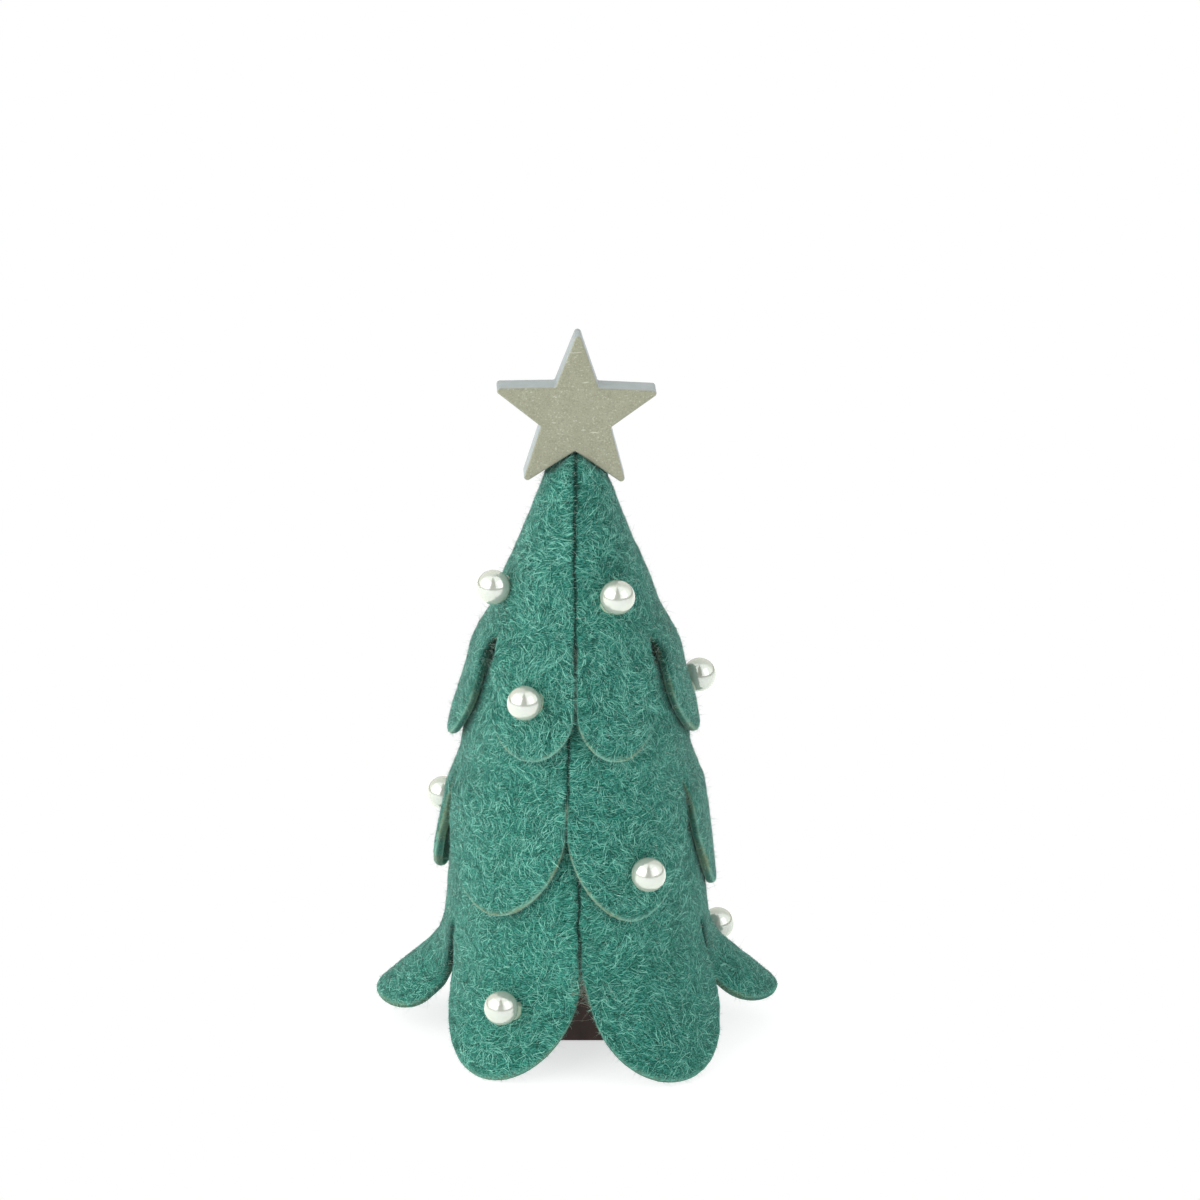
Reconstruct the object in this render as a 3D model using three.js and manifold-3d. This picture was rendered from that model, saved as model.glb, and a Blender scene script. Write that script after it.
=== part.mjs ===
// A small felt Christmas tree: three felt tiers with tongue petals on a wooden core,
// a wooden star on a pin, a square wooden trunk on a dowel and pearl beads held by glue.
// Millimetres, +Z up, the front faces -Y, the trunk stands on z = 0.
import * as THREE from "three";
import { mergeVertices } from "three/addons/utils/BufferGeometryUtils.js";
import Module from "manifold-3d";

const wasm = await Module();
wasm.setup();

// Trunk
const trunkWidth = 25;
const trunkHeight = 24;
const trunkChamfer = 0.8;
const trunkDowelRadius = 4;
const trunkDowelDepth = 12;
const fitSlack = 0.3;
const roundSides = 24;

// Core: its radius at a share of its reach is a share of its foot radius
const coreFoot = trunkHeight + fitSlack;
const coreReach = 116.7;
const coreFootRadius = 28.7;
const coreTopShare = 0.953;
const coreHeightShares = [0, 0.177, 0.323, 0.434, 0.546, 0.597, 0.649, 0.692, 0.734, 0.82, 0.906, 1];
const coreRadiusShares = [1, 0.935, 0.865, 0.82, 0.714, 0.669, 0.62, 0.571, 0.519, 0.369, 0.233, 0.094];
const coreTop = coreFoot + coreTopShare * coreReach;
const coreRings = 22;
const coreSides = 32;

// Felt
const feltThickness = 2.3;
const layerGap = 0.3;
const slitGap = 0.5;
const drapeReach = 12;
const slopeStepShare = 0.0043;
const weldGap = 0.0005;
const ridgeHalfDegrees = 16;
const ridgeFade = 8;
const ridgeFadeStart = 6;
const petalSteps = 40;
const petalCells = 8;
const probeShare = 0.01;
const slopeStep = slopeStepShare * coreReach;

// Top tier: its crown closes over the core's top, pressed down by the star's legs
const topEdgeLift = 4.9;
const topSlitShare = 0.662;
const topSaddle = 3.4;
const crownRise = 1.6;
const crownHoleRadius = 1.7;
const topPetalFront = 26.3;
const topPetalRight = 27.8;
const topPetalLeft = 29.2;
const topPetalBack = 27;

// Middle tier
const middleEdgeShare = 0.604;
const middleSlitShare = 0.3595;
const middleRidgeShare = 0.4456;
const middlePetalFront = 28.3;
const middlePetalSide = 31;
const middlePetalBack = 29;

// Bottom tier
const bottomEdgeShare = 0.301;
const bottomSlitShare = 0.0566;
const bottomRidgeShare = 0.1243;
const bottomPetalRight = 32.4;
const bottomPetalLeft = 31.6;
const bottomPetalBack = 31.8;
const bottomPetalSide = 29.5;

// Star: the notch between its legs sits over the core's top
const notchLift = 7.3;
const notchHeight = coreTop + notchLift;
const starRadius = 20.5;
const starWaistRadius = 8.4;
const starTipRound = 0.8;
const starInnerRound = 0.5;
const starThickness = 6.3;
const starBevel = 0.3;
const starTurnDegrees = 7;
const starLeanDegrees = 1.7;
const starPoints = 5;
const starArcSegments = 2;
const starPinRadius = 1.25;
const starPinCoreDepth = 12;
const starPinStarDepth = 8;

// Pearls and glue
const pearlRadius = 4;
const pearlStandoff = 3.2;
const pearlRaisedStandoff = 4.6;
const pearlPocketSlack = 0.5;
const pearlSides = 16;
const pearlRings = 10;
const pocketSides = 8;
const pocketRings = 6;
const glueLength = 2.9;
const glueReach = 2.2;
const glueHeight = 1.5;
const glueOffset = 2.9;
const glueTuckedOffset = 2.1;
const glueSides = 12;
const glueRings = 8;

const degree = Math.PI / 180;
const up = new THREE.Vector3(0, 0, 1);

function coreHeight(share) {
  return coreFoot + share * coreReach;
}

// Each tier: the petals' widths and splays in degrees, and their lengths, go round from the seam
// against the clock, seen from above.
const topTier = {
  name: "felt_tier_top",
  edge: coreTop + topEdgeLift,
  slit: coreHeight(topSlitShare),
  lowerEdge: coreHeight(middleEdgeShare),
  ridgeEnd: coreHeight(1) + drapeReach,
  saddle: topSaddle,
  crownRows: 1,
  bodyRows: 3,
  petalRows: 4,
  seamDegrees: 0,
  widthDegrees: [55, 66, 60, 59, 60, 60],
  splayDegrees: [3, 0, 3, 3, 2.5, 3],
  lengths: [topPetalFront, topPetalRight, topPetalBack, topPetalBack, topPetalLeft, topPetalFront],
  straightShares: [0.54, 0.54, 0.54, 0.54, 0.54, 0.54],
  cupShares: [0, 0, 0, 0, 0, 0],
  bendShares: [0.35, 0.35, 0.35, 0.35, 0.35, 0.35],
  hemPower: 2,
};
const middleTier = {
  name: "felt_tier_middle",
  edge: coreHeight(middleEdgeShare),
  slit: coreHeight(middleSlitShare),
  lowerEdge: coreHeight(bottomEdgeShare),
  ridgeEnd: coreHeight(middleRidgeShare),
  saddle: 0,
  crownRows: 0,
  bodyRows: 4,
  petalRows: 5,
  seamDegrees: -4,
  widthDegrees: [67, 54, 54, 54, 55, 76],
  splayDegrees: [2, 0, 3, 3, 4, 2],
  lengths: [
    middlePetalFront,
    middlePetalSide,
    middlePetalBack,
    middlePetalBack,
    middlePetalSide,
    middlePetalFront,
  ],
  straightShares: [0.22, 0.22, 0.22, 0.22, 0.22, 0.22],
  cupShares: [0, 0, 0, 0, 0, 0],
  bendShares: [0.35, 0.35, 0.35, 0.35, 0.35, 0.35],
  hemPower: 1.8,
};
const bottomTier = {
  name: "felt_tier_bottom",
  edge: coreHeight(bottomEdgeShare),
  slit: coreHeight(bottomSlitShare),
  lowerEdge: 0,
  ridgeEnd: coreHeight(bottomRidgeShare),
  saddle: 0,
  crownRows: 0,
  bodyRows: 4,
  petalRows: 5,
  seamDegrees: 1.5,
  widthDegrees: [70, 44, 64, 57, 55, 70],
  splayDegrees: [24, 49, 29, 26, 48, 20],
  lengths: [
    bottomPetalRight,
    bottomPetalSide,
    bottomPetalBack,
    bottomPetalBack,
    bottomPetalSide,
    bottomPetalLeft,
  ],
  straightShares: [0.36, 0.6, 0.45, 0.2, 0.6, 0.25],
  cupShares: [-0.4, 1.7, 0, 0, 1.5, 0.3],
  bendShares: [0.2, 0.5, 0.3, 0.3, 0.5, 0.3],
  hemPower: 2,
};

// How a pearl sits: with its glue tucked under it, squeezed out beside it, or raised on its glue
const snug = { standoff: pearlStandoff, glueAside: glueTuckedOffset };
const squeezed = { standoff: pearlStandoff, glueAside: glueOffset };
const raised = { standoff: pearlRaisedStandoff, glueAside: glueOffset };

// A seat above the slits is given by its azimuth and its share of the way from slit to edge.
// A seat on a petal is given by its shares across and down the petal.
const seats = [
  { ...snug, tier: topTier, degrees: -67.4, riseShare: 0.236, glueDegrees: 150 },
  { ...snug, tier: topTier, degrees: 28.3, riseShare: 0.262, glueDegrees: 250 },
  { ...snug, tier: topTier, degrees: 155, riseShare: 0.28, glueDegrees: 20 },
  { ...squeezed, tier: topTier, petal: 5, acrossShare: 0.06, downShare: 0.48, glueDegrees: 0 },
  { ...snug, tier: topTier, petal: 1, acrossShare: 0.8, downShare: 0.7, glueDegrees: 230 },
  { ...snug, tier: topTier, petal: 3, acrossShare: 0, downShare: 0.5, glueDegrees: 180 },
  { ...snug, tier: middleTier, petal: 4, acrossShare: -0.38, downShare: 0.51, glueDegrees: 60 },
  { ...snug, tier: middleTier, petal: 0, acrossShare: 0.08, downShare: 0.59, glueDegrees: 300 },
  { ...squeezed, tier: middleTier, petal: 2, acrossShare: 0.1, downShare: 0.5, glueDegrees: 120 },
  { ...squeezed, tier: bottomTier, petal: 5, acrossShare: 0.17, downShare: 0.45, glueDegrees: 350 },
  { ...raised, tier: bottomTier, petal: 2, acrossShare: -0.8, downShare: 0.62, glueDegrees: 200 },
  { ...snug, tier: bottomTier, petal: 3, acrossShare: 0.1, downShare: 0.44, glueDegrees: 30 },
];

// Materials
function finish(colour, roughness, metalness) {
  return new THREE.MeshStandardMaterial({ color: colour, roughness, metalness });
}

function mesh(name, geometry, colour, roughness, metalness = 0) {
  const made = new THREE.Mesh(geometry, finish(colour, roughness, metalness));
  made.name = name;
  return made;
}

// Solids
function solid(geometry) {
  const bare = new THREE.BufferGeometry();
  bare.setAttribute("position", geometry.getAttribute("position"));
  bare.setIndex(geometry.index);
  const merged = mergeVertices(bare, weldGap);
  return new wasm.Manifold(
    new wasm.Mesh({
      numProp: 3,
      vertProperties: new Float32Array(merged.attributes.position.array),
      triVerts: new Uint32Array(merged.index.array),
    }),
  );
}

function geometryOf(body) {
  const made = body.getMesh();
  const geometry = new THREE.BufferGeometry();
  geometry.setAttribute("position", new THREE.BufferAttribute(new Float32Array(made.vertProperties), 3));
  geometry.setIndex(new THREE.BufferAttribute(new Uint32Array(made.triVerts), 1));
  return geometry;
}

function upright(radius, low, high) {
  const geometry = new THREE.CylinderGeometry(radius, radius, high - low, roundSides);
  geometry.rotateX(Math.PI / 2);
  geometry.translate(0, 0, (low + high) / 2);
  return geometry;
}

// Easing from 0 to 1
function ease(share) {
  const held = Math.min(1, Math.max(0, share));
  return held * held * (3 - 2 * held);
}

// Core radius at a height: smooth curve through the table
function tableSlope(index) {
  const last = coreHeightShares.length - 1;
  const before = Math.max(0, index - 1);
  const after = Math.min(last, index + 1);
  const rise = coreRadiusShares[after] - coreRadiusShares[before];
  return rise / (coreHeightShares[after] - coreHeightShares[before]);
}

function coreRadius(height) {
  const share = Math.min(1, Math.max(0, (height - coreFoot) / coreReach));
  let index = 0;
  while (index < coreHeightShares.length - 2 && coreHeightShares[index + 1] < share) index += 1;
  const width = coreHeightShares[index + 1] - coreHeightShares[index];
  const t = (share - coreHeightShares[index]) / width;
  const change = coreRadiusShares[index + 1] - coreRadiusShares[index];
  const start = coreRadiusShares[index] + ease(t) * change;
  const lead = t * (1 - t) * (1 - t) * width * tableSlope(index);
  const trail = t * t * (t - 1) * width * tableSlope(index + 1);
  return coreFootRadius * (start + lead + trail);
}

function coreSlopeCosine(height) {
  if (height <= coreFoot) return 1;
  const fall = coreRadius(height - slopeStep) - coreRadius(height + slopeStep);
  return Math.cos(Math.atan(fall / (2 * slopeStep)));
}

// Outer felt radius: one layer on the core, two where the tier lies on the next one
function tierRadius(tier, height) {
  const off = ease((height - tier.lowerEdge) / drapeReach);
  const layers = tier.lowerEdge > 0 ? 2 - off : 1;
  return coreRadius(height) + (layers * (feltThickness + layerGap)) / coreSlopeCosine(height);
}

function tierSlope(tier, height) {
  const fall = tierRadius(tier, height - slopeStep) - tierRadius(tier, height + slopeStep);
  return height > coreFoot + slopeStep ? Math.atan(fall / (2 * slopeStep)) : 0;
}

// The slight ridge along the closed seam: angle past the flat's middle, zero outside it
function ridgeTilt(tier, turn, height) {
  const fade = 1 - ease((height - tier.ridgeEnd + ridgeFadeStart) / ridgeFade);
  const halfTurn = Math.PI;
  const past = turn - tier.seamDegrees * degree + halfTurn;
  const apart = THREE.MathUtils.euclideanModulo(past, 2 * halfTurn) - halfTurn;
  return fade * Math.max(0, ridgeHalfDegrees * degree - Math.abs(apart));
}

function sheetRadius(tier, turn, height, reach, inside) {
  const tilt = ridgeTilt(tier, turn, height);
  const out = reach / Math.cos(tilt);
  return inside ? out - feltThickness / (Math.cos(tilt) * coreSlopeCosine(height)) : out;
}

function outward(turn) {
  return new THREE.Vector3(Math.sin(turn), -Math.cos(turn), 0);
}

// A petal's side lines at its slit, as turns from the front
function petalSides(tier, petal) {
  const before = tier.widthDegrees.slice(0, petal).reduce((sum, width) => sum + width, 0);
  const start = tier.seamDegrees + before;
  return [start * degree, (start + tier.widthDegrees[petal]) * degree];
}

// Above the slits
function bodyTurn(tier, petal, across, height) {
  const [left, right] = petalSides(tier, petal);
  const half = (right - left) / 2 - slitGap / 2 / tierRadius(tier, height);
  return (left + right) / 2 + across * half;
}

function saddleDrop(tier, turn) {
  return tier.saddle * Math.sin(turn - starTurnDegrees * degree) ** 2;
}

function bodyPoint(tier, turn, height, inside) {
  const radius = sheetRadius(tier, turn, height, tierRadius(tier, height), inside);
  return outward(turn).multiplyScalar(radius).setZ(height);
}

// Above the top edge: the felt draws in to a small hole round the star's pin
function crownPoint(tier, petal, across, share, inside) {
  const turn = bodyTurn(tier, petal, across, tier.edge);
  const start = sheetRadius(tier, turn, tier.edge, tierRadius(tier, tier.edge), inside);
  const radius = start + (crownHoleRadius - start) * share;
  const part = radius / start;
  const top = tier.edge + crownRise * (1 - part * part) - saddleDrop(tier, turn) * part;
  return outward(turn).multiplyScalar(radius).setZ(inside ? top - feltThickness * share : top);
}

// Middle line of a petal: it follows the body's slope and bends out near the slit
const lines = new Map();
function petalLine(tier, petal) {
  const key = tier.name + petal;
  if (lines.has(key)) return lines.get(key);
  const step = tier.lengths[petal] / petalSteps;
  const line = [];
  let flat = tier.slit;
  let radius = tierRadius(tier, flat);
  let height = tier.slit;
  for (let i = 0; i <= petalSteps; i += 1) {
    const slope = tierSlope(tier, flat);
    const lean = tier.splayDegrees[petal] * degree * ease(i / petalSteps / tier.bendShares[petal]);
    line.push({ flat, reach: tierRadius(tier, flat), radius, height, lean });
    radius += step * Math.sin(lean + slope);
    height -= step * Math.cos(lean + slope);
    flat -= step * Math.cos(slope);
  }
  lines.set(key, line);
  return line;
}

function along(line, down, field) {
  const place = Math.min(1, Math.max(0, down)) * petalSteps;
  const index = Math.min(petalSteps - 1, Math.floor(place));
  const part = place - index;
  return line[index][field] * (1 - part) + line[index + 1][field] * part;
}

// Petals beside the seam keep to it, the others keep their middle line
function petalMiddle(tier, petal, reach, halfWidth) {
  const [left, right] = petalSides(tier, petal);
  const half = (halfWidth + slitGap / 2) / reach;
  if (petal === 0) return left + half;
  if (petal === tier.widthDegrees.length - 1) return right - half;
  return (left + right) / 2;
}

function petalPoint(tier, petal, across, down, inside) {
  const line = petalLine(tier, petal);
  const [left, right] = petalSides(tier, petal);
  const halfWidth = ((right - left) / 2) * line[0].reach - slitGap / 2;
  const reach = along(line, down, "reach");
  const lean = along(line, down, "lean");
  const middle = petalMiddle(tier, petal, reach, halfWidth);
  const cup = 1 + tier.cupShares[petal] * ease(down / tier.bendShares[petal]) ** 2;
  const swing = (across * halfWidth) / reach;
  const radius = sheetRadius(tier, middle + swing, along(line, down, "flat"), reach, inside);
  const normal = outward(middle).multiplyScalar(Math.cos(lean)).addScaledVector(up, Math.sin(lean));
  return outward(middle)
    .multiplyScalar(along(line, down, "radius"))
    .addScaledVector(up, along(line, down, "height"))
    .addScaledVector(outward(middle + Math.PI / 2), radius * Math.sin(swing))
    .addScaledVector(normal, radius - reach + cup * radius * (Math.cos(swing) - 1));
}

function hemShare(tier, petal, across) {
  const straight = tier.straightShares[petal];
  const round = Math.max(0, 1 - Math.abs(across) ** tier.hemPower);
  return straight + (1 - straight) * round ** (1 / tier.hemPower);
}

// Felt tier: a grid of columns, body rows counted up from the slit, petal rows counted down
function columnAcross(column) {
  return Math.sin(((2 * column) / petalCells - 1) * (Math.PI / 2));
}

function sheetPoint(tier, petal, column, row, inside) {
  const across = columnAcross(column);
  if (row <= 0) {
    const down = (-row / tier.petalRows) * hemShare(tier, petal, across);
    return petalPoint(tier, petal, across, down, inside);
  }
  if (row > tier.bodyRows) {
    return crownPoint(tier, petal, across, (row - tier.bodyRows) / tier.crownRows, inside);
  }
  const edge = tier.edge - saddleDrop(tier, bodyTurn(tier, petal, across, tier.slit));
  const height = tier.slit + (row / tier.bodyRows) * (edge - tier.slit);
  return bodyPoint(tier, bodyTurn(tier, petal, across, height), height, inside);
}

// Thick sheet: outside cells, inside cells and a wall on each edge that has no neighbour
function thickSheet(outside, inside, cells) {
  const count = outside.length;
  const edges = new Set();
  for (const cell of cells) {
    cell.forEach((from, i) => edges.add(from + "," + cell[(i + 1) % cell.length]));
  }
  const index = [];
  const addQuad = (a, b, c, d) => index.push(a, b, c, a, c, d);
  for (const cell of cells) {
    const [a, b, c, d] = cell;
    addQuad(a, b, c, d);
    addQuad(a + count, d + count, c + count, b + count);
    cell.forEach((from, i) => {
      const to = cell[(i + 1) % cell.length];
      if (!edges.has(to + "," + from)) addQuad(to, from, from + count, to + count);
    });
  }
  const geometry = new THREE.BufferGeometry();
  geometry.setFromPoints([...outside, ...inside]);
  geometry.setIndex(index);
  return geometry;
}

function tierSheet(tier) {
  const outside = [];
  const inside = [];
  const places = new Map();
  const vertex = (petal, column, row) => {
    const key = [petal, column, row].join();
    if (!places.has(key)) {
      places.set(key, outside.length);
      outside.push(sheetPoint(tier, petal, column, row, false));
      inside.push(sheetPoint(tier, petal, column, row, true));
    }
    return places.get(key);
  };
  const cells = [];
  tier.widthDegrees.forEach((width, petal) => {
    for (let row = -tier.petalRows; row < tier.bodyRows + tier.crownRows; row += 1) {
      for (let column = 0; column < petalCells; column += 1) {
        cells.push([
          vertex(petal, column, row),
          vertex(petal, column + 1, row),
          vertex(petal, column + 1, row + 1),
          vertex(petal, column, row + 1),
        ]);
      }
      if (row < 0 || petal === tier.widthDegrees.length - 1) continue;
      cells.push([
        vertex(petal, petalCells, row),
        vertex(petal + 1, 0, row),
        vertex(petal + 1, 0, row + 1),
        vertex(petal, petalCells, row + 1),
      ]);
    }
  });
  return thickSheet(outside, inside, cells);
}

// Seats: a point on the felt's outside with its normal and two directions along the felt
function seatPoint(seat, stepAcross, stepDown) {
  const { tier } = seat;
  if (seat.petal !== undefined) {
    return petalPoint(tier, seat.petal, seat.acrossShare + stepAcross, seat.downShare + stepDown, false);
  }
  const height = tier.slit + (seat.riseShare - stepDown) * (tier.edge - tier.slit);
  return bodyPoint(tier, seat.degrees * degree + stepAcross, height, false);
}

function seatFrame(seat) {
  const point = seatPoint(seat, 0, 0);
  const right = seatPoint(seat, probeShare, 0).sub(seatPoint(seat, -probeShare, 0)).normalize();
  const down = seatPoint(seat, 0, probeShare).sub(seatPoint(seat, 0, -probeShare)).normalize();
  const normal = down.clone().cross(right).normalize();
  const ahead = normal.clone().cross(right).normalize();
  return { point, normal, right, ahead };
}

function placeOnSeat(geometry, seat, standoff) {
  const { point, normal, right, ahead } = seatFrame(seat);
  const matrix = new THREE.Matrix4().makeBasis(right, ahead, normal);
  matrix.setPosition(point.clone().addScaledVector(normal, standoff));
  return geometry.applyMatrix4(matrix);
}

function seatSphere(seat, radius, sides, rings) {
  const geometry = new THREE.SphereGeometry(radius, sides, rings);
  geometry.rotateX(Math.PI / 2);
  return placeOnSeat(geometry, seat, seat.standoff);
}

function feltTier(tier) {
  let body = solid(tierSheet(tier));
  for (const seat of seats.filter((each) => each.tier === tier)) {
    const pocket = seatSphere(seat, pearlRadius + pearlPocketSlack, pocketSides, pocketRings);
    body = body.subtract(solid(pocket));
  }
  return mesh(tier.name, geometryOf(body), 0x448070, 0.95);
}

// Pearls and the glue beside them
function pearl(seat, number) {
  return mesh("pearl_" + number, seatSphere(seat, pearlRadius, pearlSides, pearlRings), 0xe8e6e0, 0.2);
}

function glue(seat, number) {
  const geometry = new THREE.SphereGeometry(1, glueSides, glueRings);
  geometry.rotateX(Math.PI / 2);
  geometry.scale(glueReach, glueLength, glueHeight + seat.standoff - pearlStandoff);
  geometry.translate(seat.glueAside, 0, 0);
  geometry.rotateZ(seat.glueDegrees * degree);
  const wide = 2 * pearlRadius;
  const floor = new THREE.BoxGeometry(2 * wide, 2 * wide, wide);
  floor.translate(0, 0, layerGap - wide / 2);
  const body = solid(placeOnSeat(geometry, seat, 0))
    .subtract(solid(placeOnSeat(floor, seat, 0)))
    .subtract(solid(seatSphere(seat, pearlRadius + fitSlack, pearlSides, pearlRings)));
  return mesh("glue_" + number, geometryOf(body), 0xc9c8a8, 0.3);
}

// Core: a lathe profile that starts in the dowel hole and ends in the pin hole
function core() {
  const dowelHole = trunkDowelRadius + fitSlack;
  const pinHole = starPinRadius + fitSlack;
  const dowelEnd = coreFoot + trunkDowelDepth + fitSlack;
  const pinEnd = coreTop - starPinCoreDepth - fitSlack;
  const profile = [new THREE.Vector2(0, dowelEnd), new THREE.Vector2(dowelHole, dowelEnd)];
  profile.push(new THREE.Vector2(dowelHole, coreFoot));
  for (let i = 0; i <= coreRings; i += 1) {
    const height = coreFoot + ((coreTop - coreFoot) * i) / coreRings;
    profile.push(new THREE.Vector2(coreRadius(height), height));
  }
  profile.push(new THREE.Vector2(pinHole, coreTop));
  profile.push(new THREE.Vector2(pinHole, pinEnd));
  profile.push(new THREE.Vector2(0, pinEnd));
  const geometry = new THREE.LatheGeometry(profile, coreSides);
  geometry.rotateX(Math.PI / 2);
  return mesh("core", geometry, 0xd8bc8c, 0.8);
}

// Star: a five-point outline with rounded corners, the notch between its legs on the axis
function starCorner(index) {
  const radius = index % 2 === 0 ? starRadius : starWaistRadius;
  const turn = Math.PI / 2 + (index * Math.PI) / starPoints;
  return new THREE.Vector2(radius * Math.cos(turn), radius * Math.sin(turn));
}

function addRoundCorner(shape, before, corner, after, radius, inward) {
  const back = before.clone().sub(corner).normalize();
  const ahead = after.clone().sub(corner).normalize();
  const half = Math.acos(back.dot(ahead)) / 2;
  const middle = back.clone().add(ahead).normalize().multiplyScalar(radius / Math.sin(half)).add(corner);
  const from = back.clone().multiplyScalar(radius / Math.tan(half)).add(corner).sub(middle);
  const to = ahead.clone().multiplyScalar(radius / Math.tan(half)).add(corner).sub(middle);
  shape.absarc(middle.x, middle.y, radius, from.angle(), to.angle(), inward);
}

function starOutline() {
  const shape = new THREE.Shape();
  const count = 2 * starPoints;
  for (let i = 0; i < count; i += 1) {
    const inward = i % 2 === 1;
    const radius = inward ? starInnerRound : starTipRound;
    addRoundCorner(shape, starCorner(i + count - 1), starCorner(i), starCorner(i + 1), radius, inward);
  }
  return shape;
}

function star() {
  const geometry = new THREE.ExtrudeGeometry(starOutline(), {
    depth: starThickness - 2 * starBevel,
    bevelThickness: starBevel,
    bevelSize: starBevel,
    bevelOffset: -starBevel,
    bevelSegments: 1,
    curveSegments: starArcSegments,
  });
  geometry.translate(0, 0, starBevel - starThickness / 2);
  geometry.translate(0, starWaistRadius, 0);
  geometry.rotateZ(-starLeanDegrees * degree);
  geometry.rotateX(Math.PI / 2);
  geometry.rotateZ(starTurnDegrees * degree);
  geometry.translate(0, 0, notchHeight);
  const hole = upright(starPinRadius + fitSlack, coreFoot, notchHeight + starPinStarDepth + fitSlack);
  return mesh("star", geometryOf(solid(geometry).subtract(solid(hole))), 0xa8a693, 0.45, 0.3);
}

function starPin() {
  const low = coreTop - starPinCoreDepth;
  return mesh("star_pin", upright(starPinRadius, low, notchHeight + starPinStarDepth), 0xd8bc8c, 0.7);
}

// Trunk: a square block with chamfered upright edges and a hole for the dowel
function trunkOutline() {
  const half = trunkWidth / 2;
  const flat = half - trunkChamfer;
  const shape = new THREE.Shape();
  shape.moveTo(half, -flat);
  shape.lineTo(half, flat);
  shape.lineTo(flat, half);
  shape.lineTo(-flat, half);
  shape.lineTo(-half, flat);
  shape.lineTo(-half, -flat);
  shape.lineTo(-flat, -half);
  shape.lineTo(flat, -half);
  return shape;
}

function trunk() {
  const block = new THREE.ExtrudeGeometry(trunkOutline(), { depth: trunkHeight, bevelEnabled: false });
  const hole = upright(trunkDowelRadius + fitSlack, trunkHeight - trunkDowelDepth - fitSlack, coreFoot);
  return mesh("trunk", geometryOf(solid(block).subtract(solid(hole))), 0x372d28, 0.7);
}

function trunkDowel() {
  const low = trunkHeight - trunkDowelDepth;
  return mesh("trunk_dowel", upright(trunkDowelRadius, low, coreFoot + trunkDowelDepth), 0xd8bc8c, 0.7);
}

const tree = new THREE.Group();
tree.name = "felt_tree";
tree.add(star(), starPin(), core(), trunk(), trunkDowel());
tree.add(feltTier(topTier), feltTier(middleTier), feltTier(bottomTier));
seats.forEach((seat, i) => {
  const number = String(i + 1).padStart(2, "0");
  tree.add(pearl(seat, number), glue(seat, number));
});

export default tree;
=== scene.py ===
"""Looks of a small felt Christmas tree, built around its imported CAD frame.

The shapes are worked out in millimetres with +Z up and the front towards -Y, and turned into
metres when a mesh is made. Every new piece is a parametric surface worked out on whole arrays.
Azimuths are zero towards -Y and grow towards +X.
"""

import logging
import math
from dataclasses import dataclass, field
from enum import Enum

import bpy
import numpy as np
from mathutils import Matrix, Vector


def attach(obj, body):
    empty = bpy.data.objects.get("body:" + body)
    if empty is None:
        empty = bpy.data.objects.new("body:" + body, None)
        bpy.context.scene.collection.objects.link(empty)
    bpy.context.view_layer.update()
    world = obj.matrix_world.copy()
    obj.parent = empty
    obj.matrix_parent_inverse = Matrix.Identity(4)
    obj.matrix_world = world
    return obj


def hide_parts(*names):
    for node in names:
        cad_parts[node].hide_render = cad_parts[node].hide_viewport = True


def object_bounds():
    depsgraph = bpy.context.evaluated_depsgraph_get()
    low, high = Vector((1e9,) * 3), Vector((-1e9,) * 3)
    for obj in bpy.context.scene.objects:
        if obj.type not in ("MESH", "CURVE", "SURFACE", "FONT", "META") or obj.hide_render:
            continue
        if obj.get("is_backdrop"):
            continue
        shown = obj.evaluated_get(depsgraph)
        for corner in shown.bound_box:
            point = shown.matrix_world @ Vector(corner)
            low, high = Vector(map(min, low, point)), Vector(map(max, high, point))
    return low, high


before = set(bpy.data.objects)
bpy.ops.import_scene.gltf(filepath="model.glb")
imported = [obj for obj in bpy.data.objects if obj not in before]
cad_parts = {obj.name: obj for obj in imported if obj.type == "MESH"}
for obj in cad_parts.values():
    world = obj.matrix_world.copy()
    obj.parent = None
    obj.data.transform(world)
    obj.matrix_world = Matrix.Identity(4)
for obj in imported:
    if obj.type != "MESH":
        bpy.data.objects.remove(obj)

LOG = logging.getLogger("felt_tree")
MM = 0.001
Array = np.ndarray


class Body(Enum):
    """The rigid bodies that pieces ride on."""

    ROOT = "root"


class Slot(Enum):
    """The record's material slots."""

    FELT = "felt"
    PEARL = "pearl"
    GLUE = "glue"
    STAR = "star_paint"
    TRUNK = "trunk_stain"
    BARE = "bare_wood"


class Fibre(Enum):
    """The kinds of wool fibre made one by one, with their materials' names."""

    LYING = "lying wool fibres"
    HAIR = "wool hairs"
    LOOSE = "loose wool fibres"


# Arrays and meshes

# Large odd numbers that scramble a lattice point's coordinates and its pattern's seed.
LATTICE_FACTORS = (374761393, 668265263, 2147483647)
SEED_FACTOR = 1274126177
SCRAMBLE_FACTOR = 1103515245
LOW_BITS = 0xFFFFF


def unit(vectors: Array) -> Array:
    """Vectors scaled to length one.

    Args:
        vectors: any array whose last axis holds x, y and z.
    Returns:
        An array of the same shape.
    """
    length = np.linalg.norm(vectors, axis=-1, keepdims=True)
    return vectors / np.maximum(length, 1e-12)


def ease(share: Array) -> Array:
    """The curve 3 s^2 - 2 s^3, held at 0 and 1 outside the range 0 to 1.

    Args:
        share: values of s.
    Returns:
        The eased values.
    """
    held = np.clip(share, 0, 1)
    return held * held * (3 - 2 * held)


def bell(distance: Array, width: Array | float) -> Array:
    """A bell-shaped fall from 1: e to the minus square of the distance over the width.

    Args:
        distance: distances from the bell's middle.
        width: distance at which the bell has fallen to a third.
    Returns:
        Values from 1 down to 0.
    """
    return np.exp(-((distance / width) ** 2))


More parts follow.
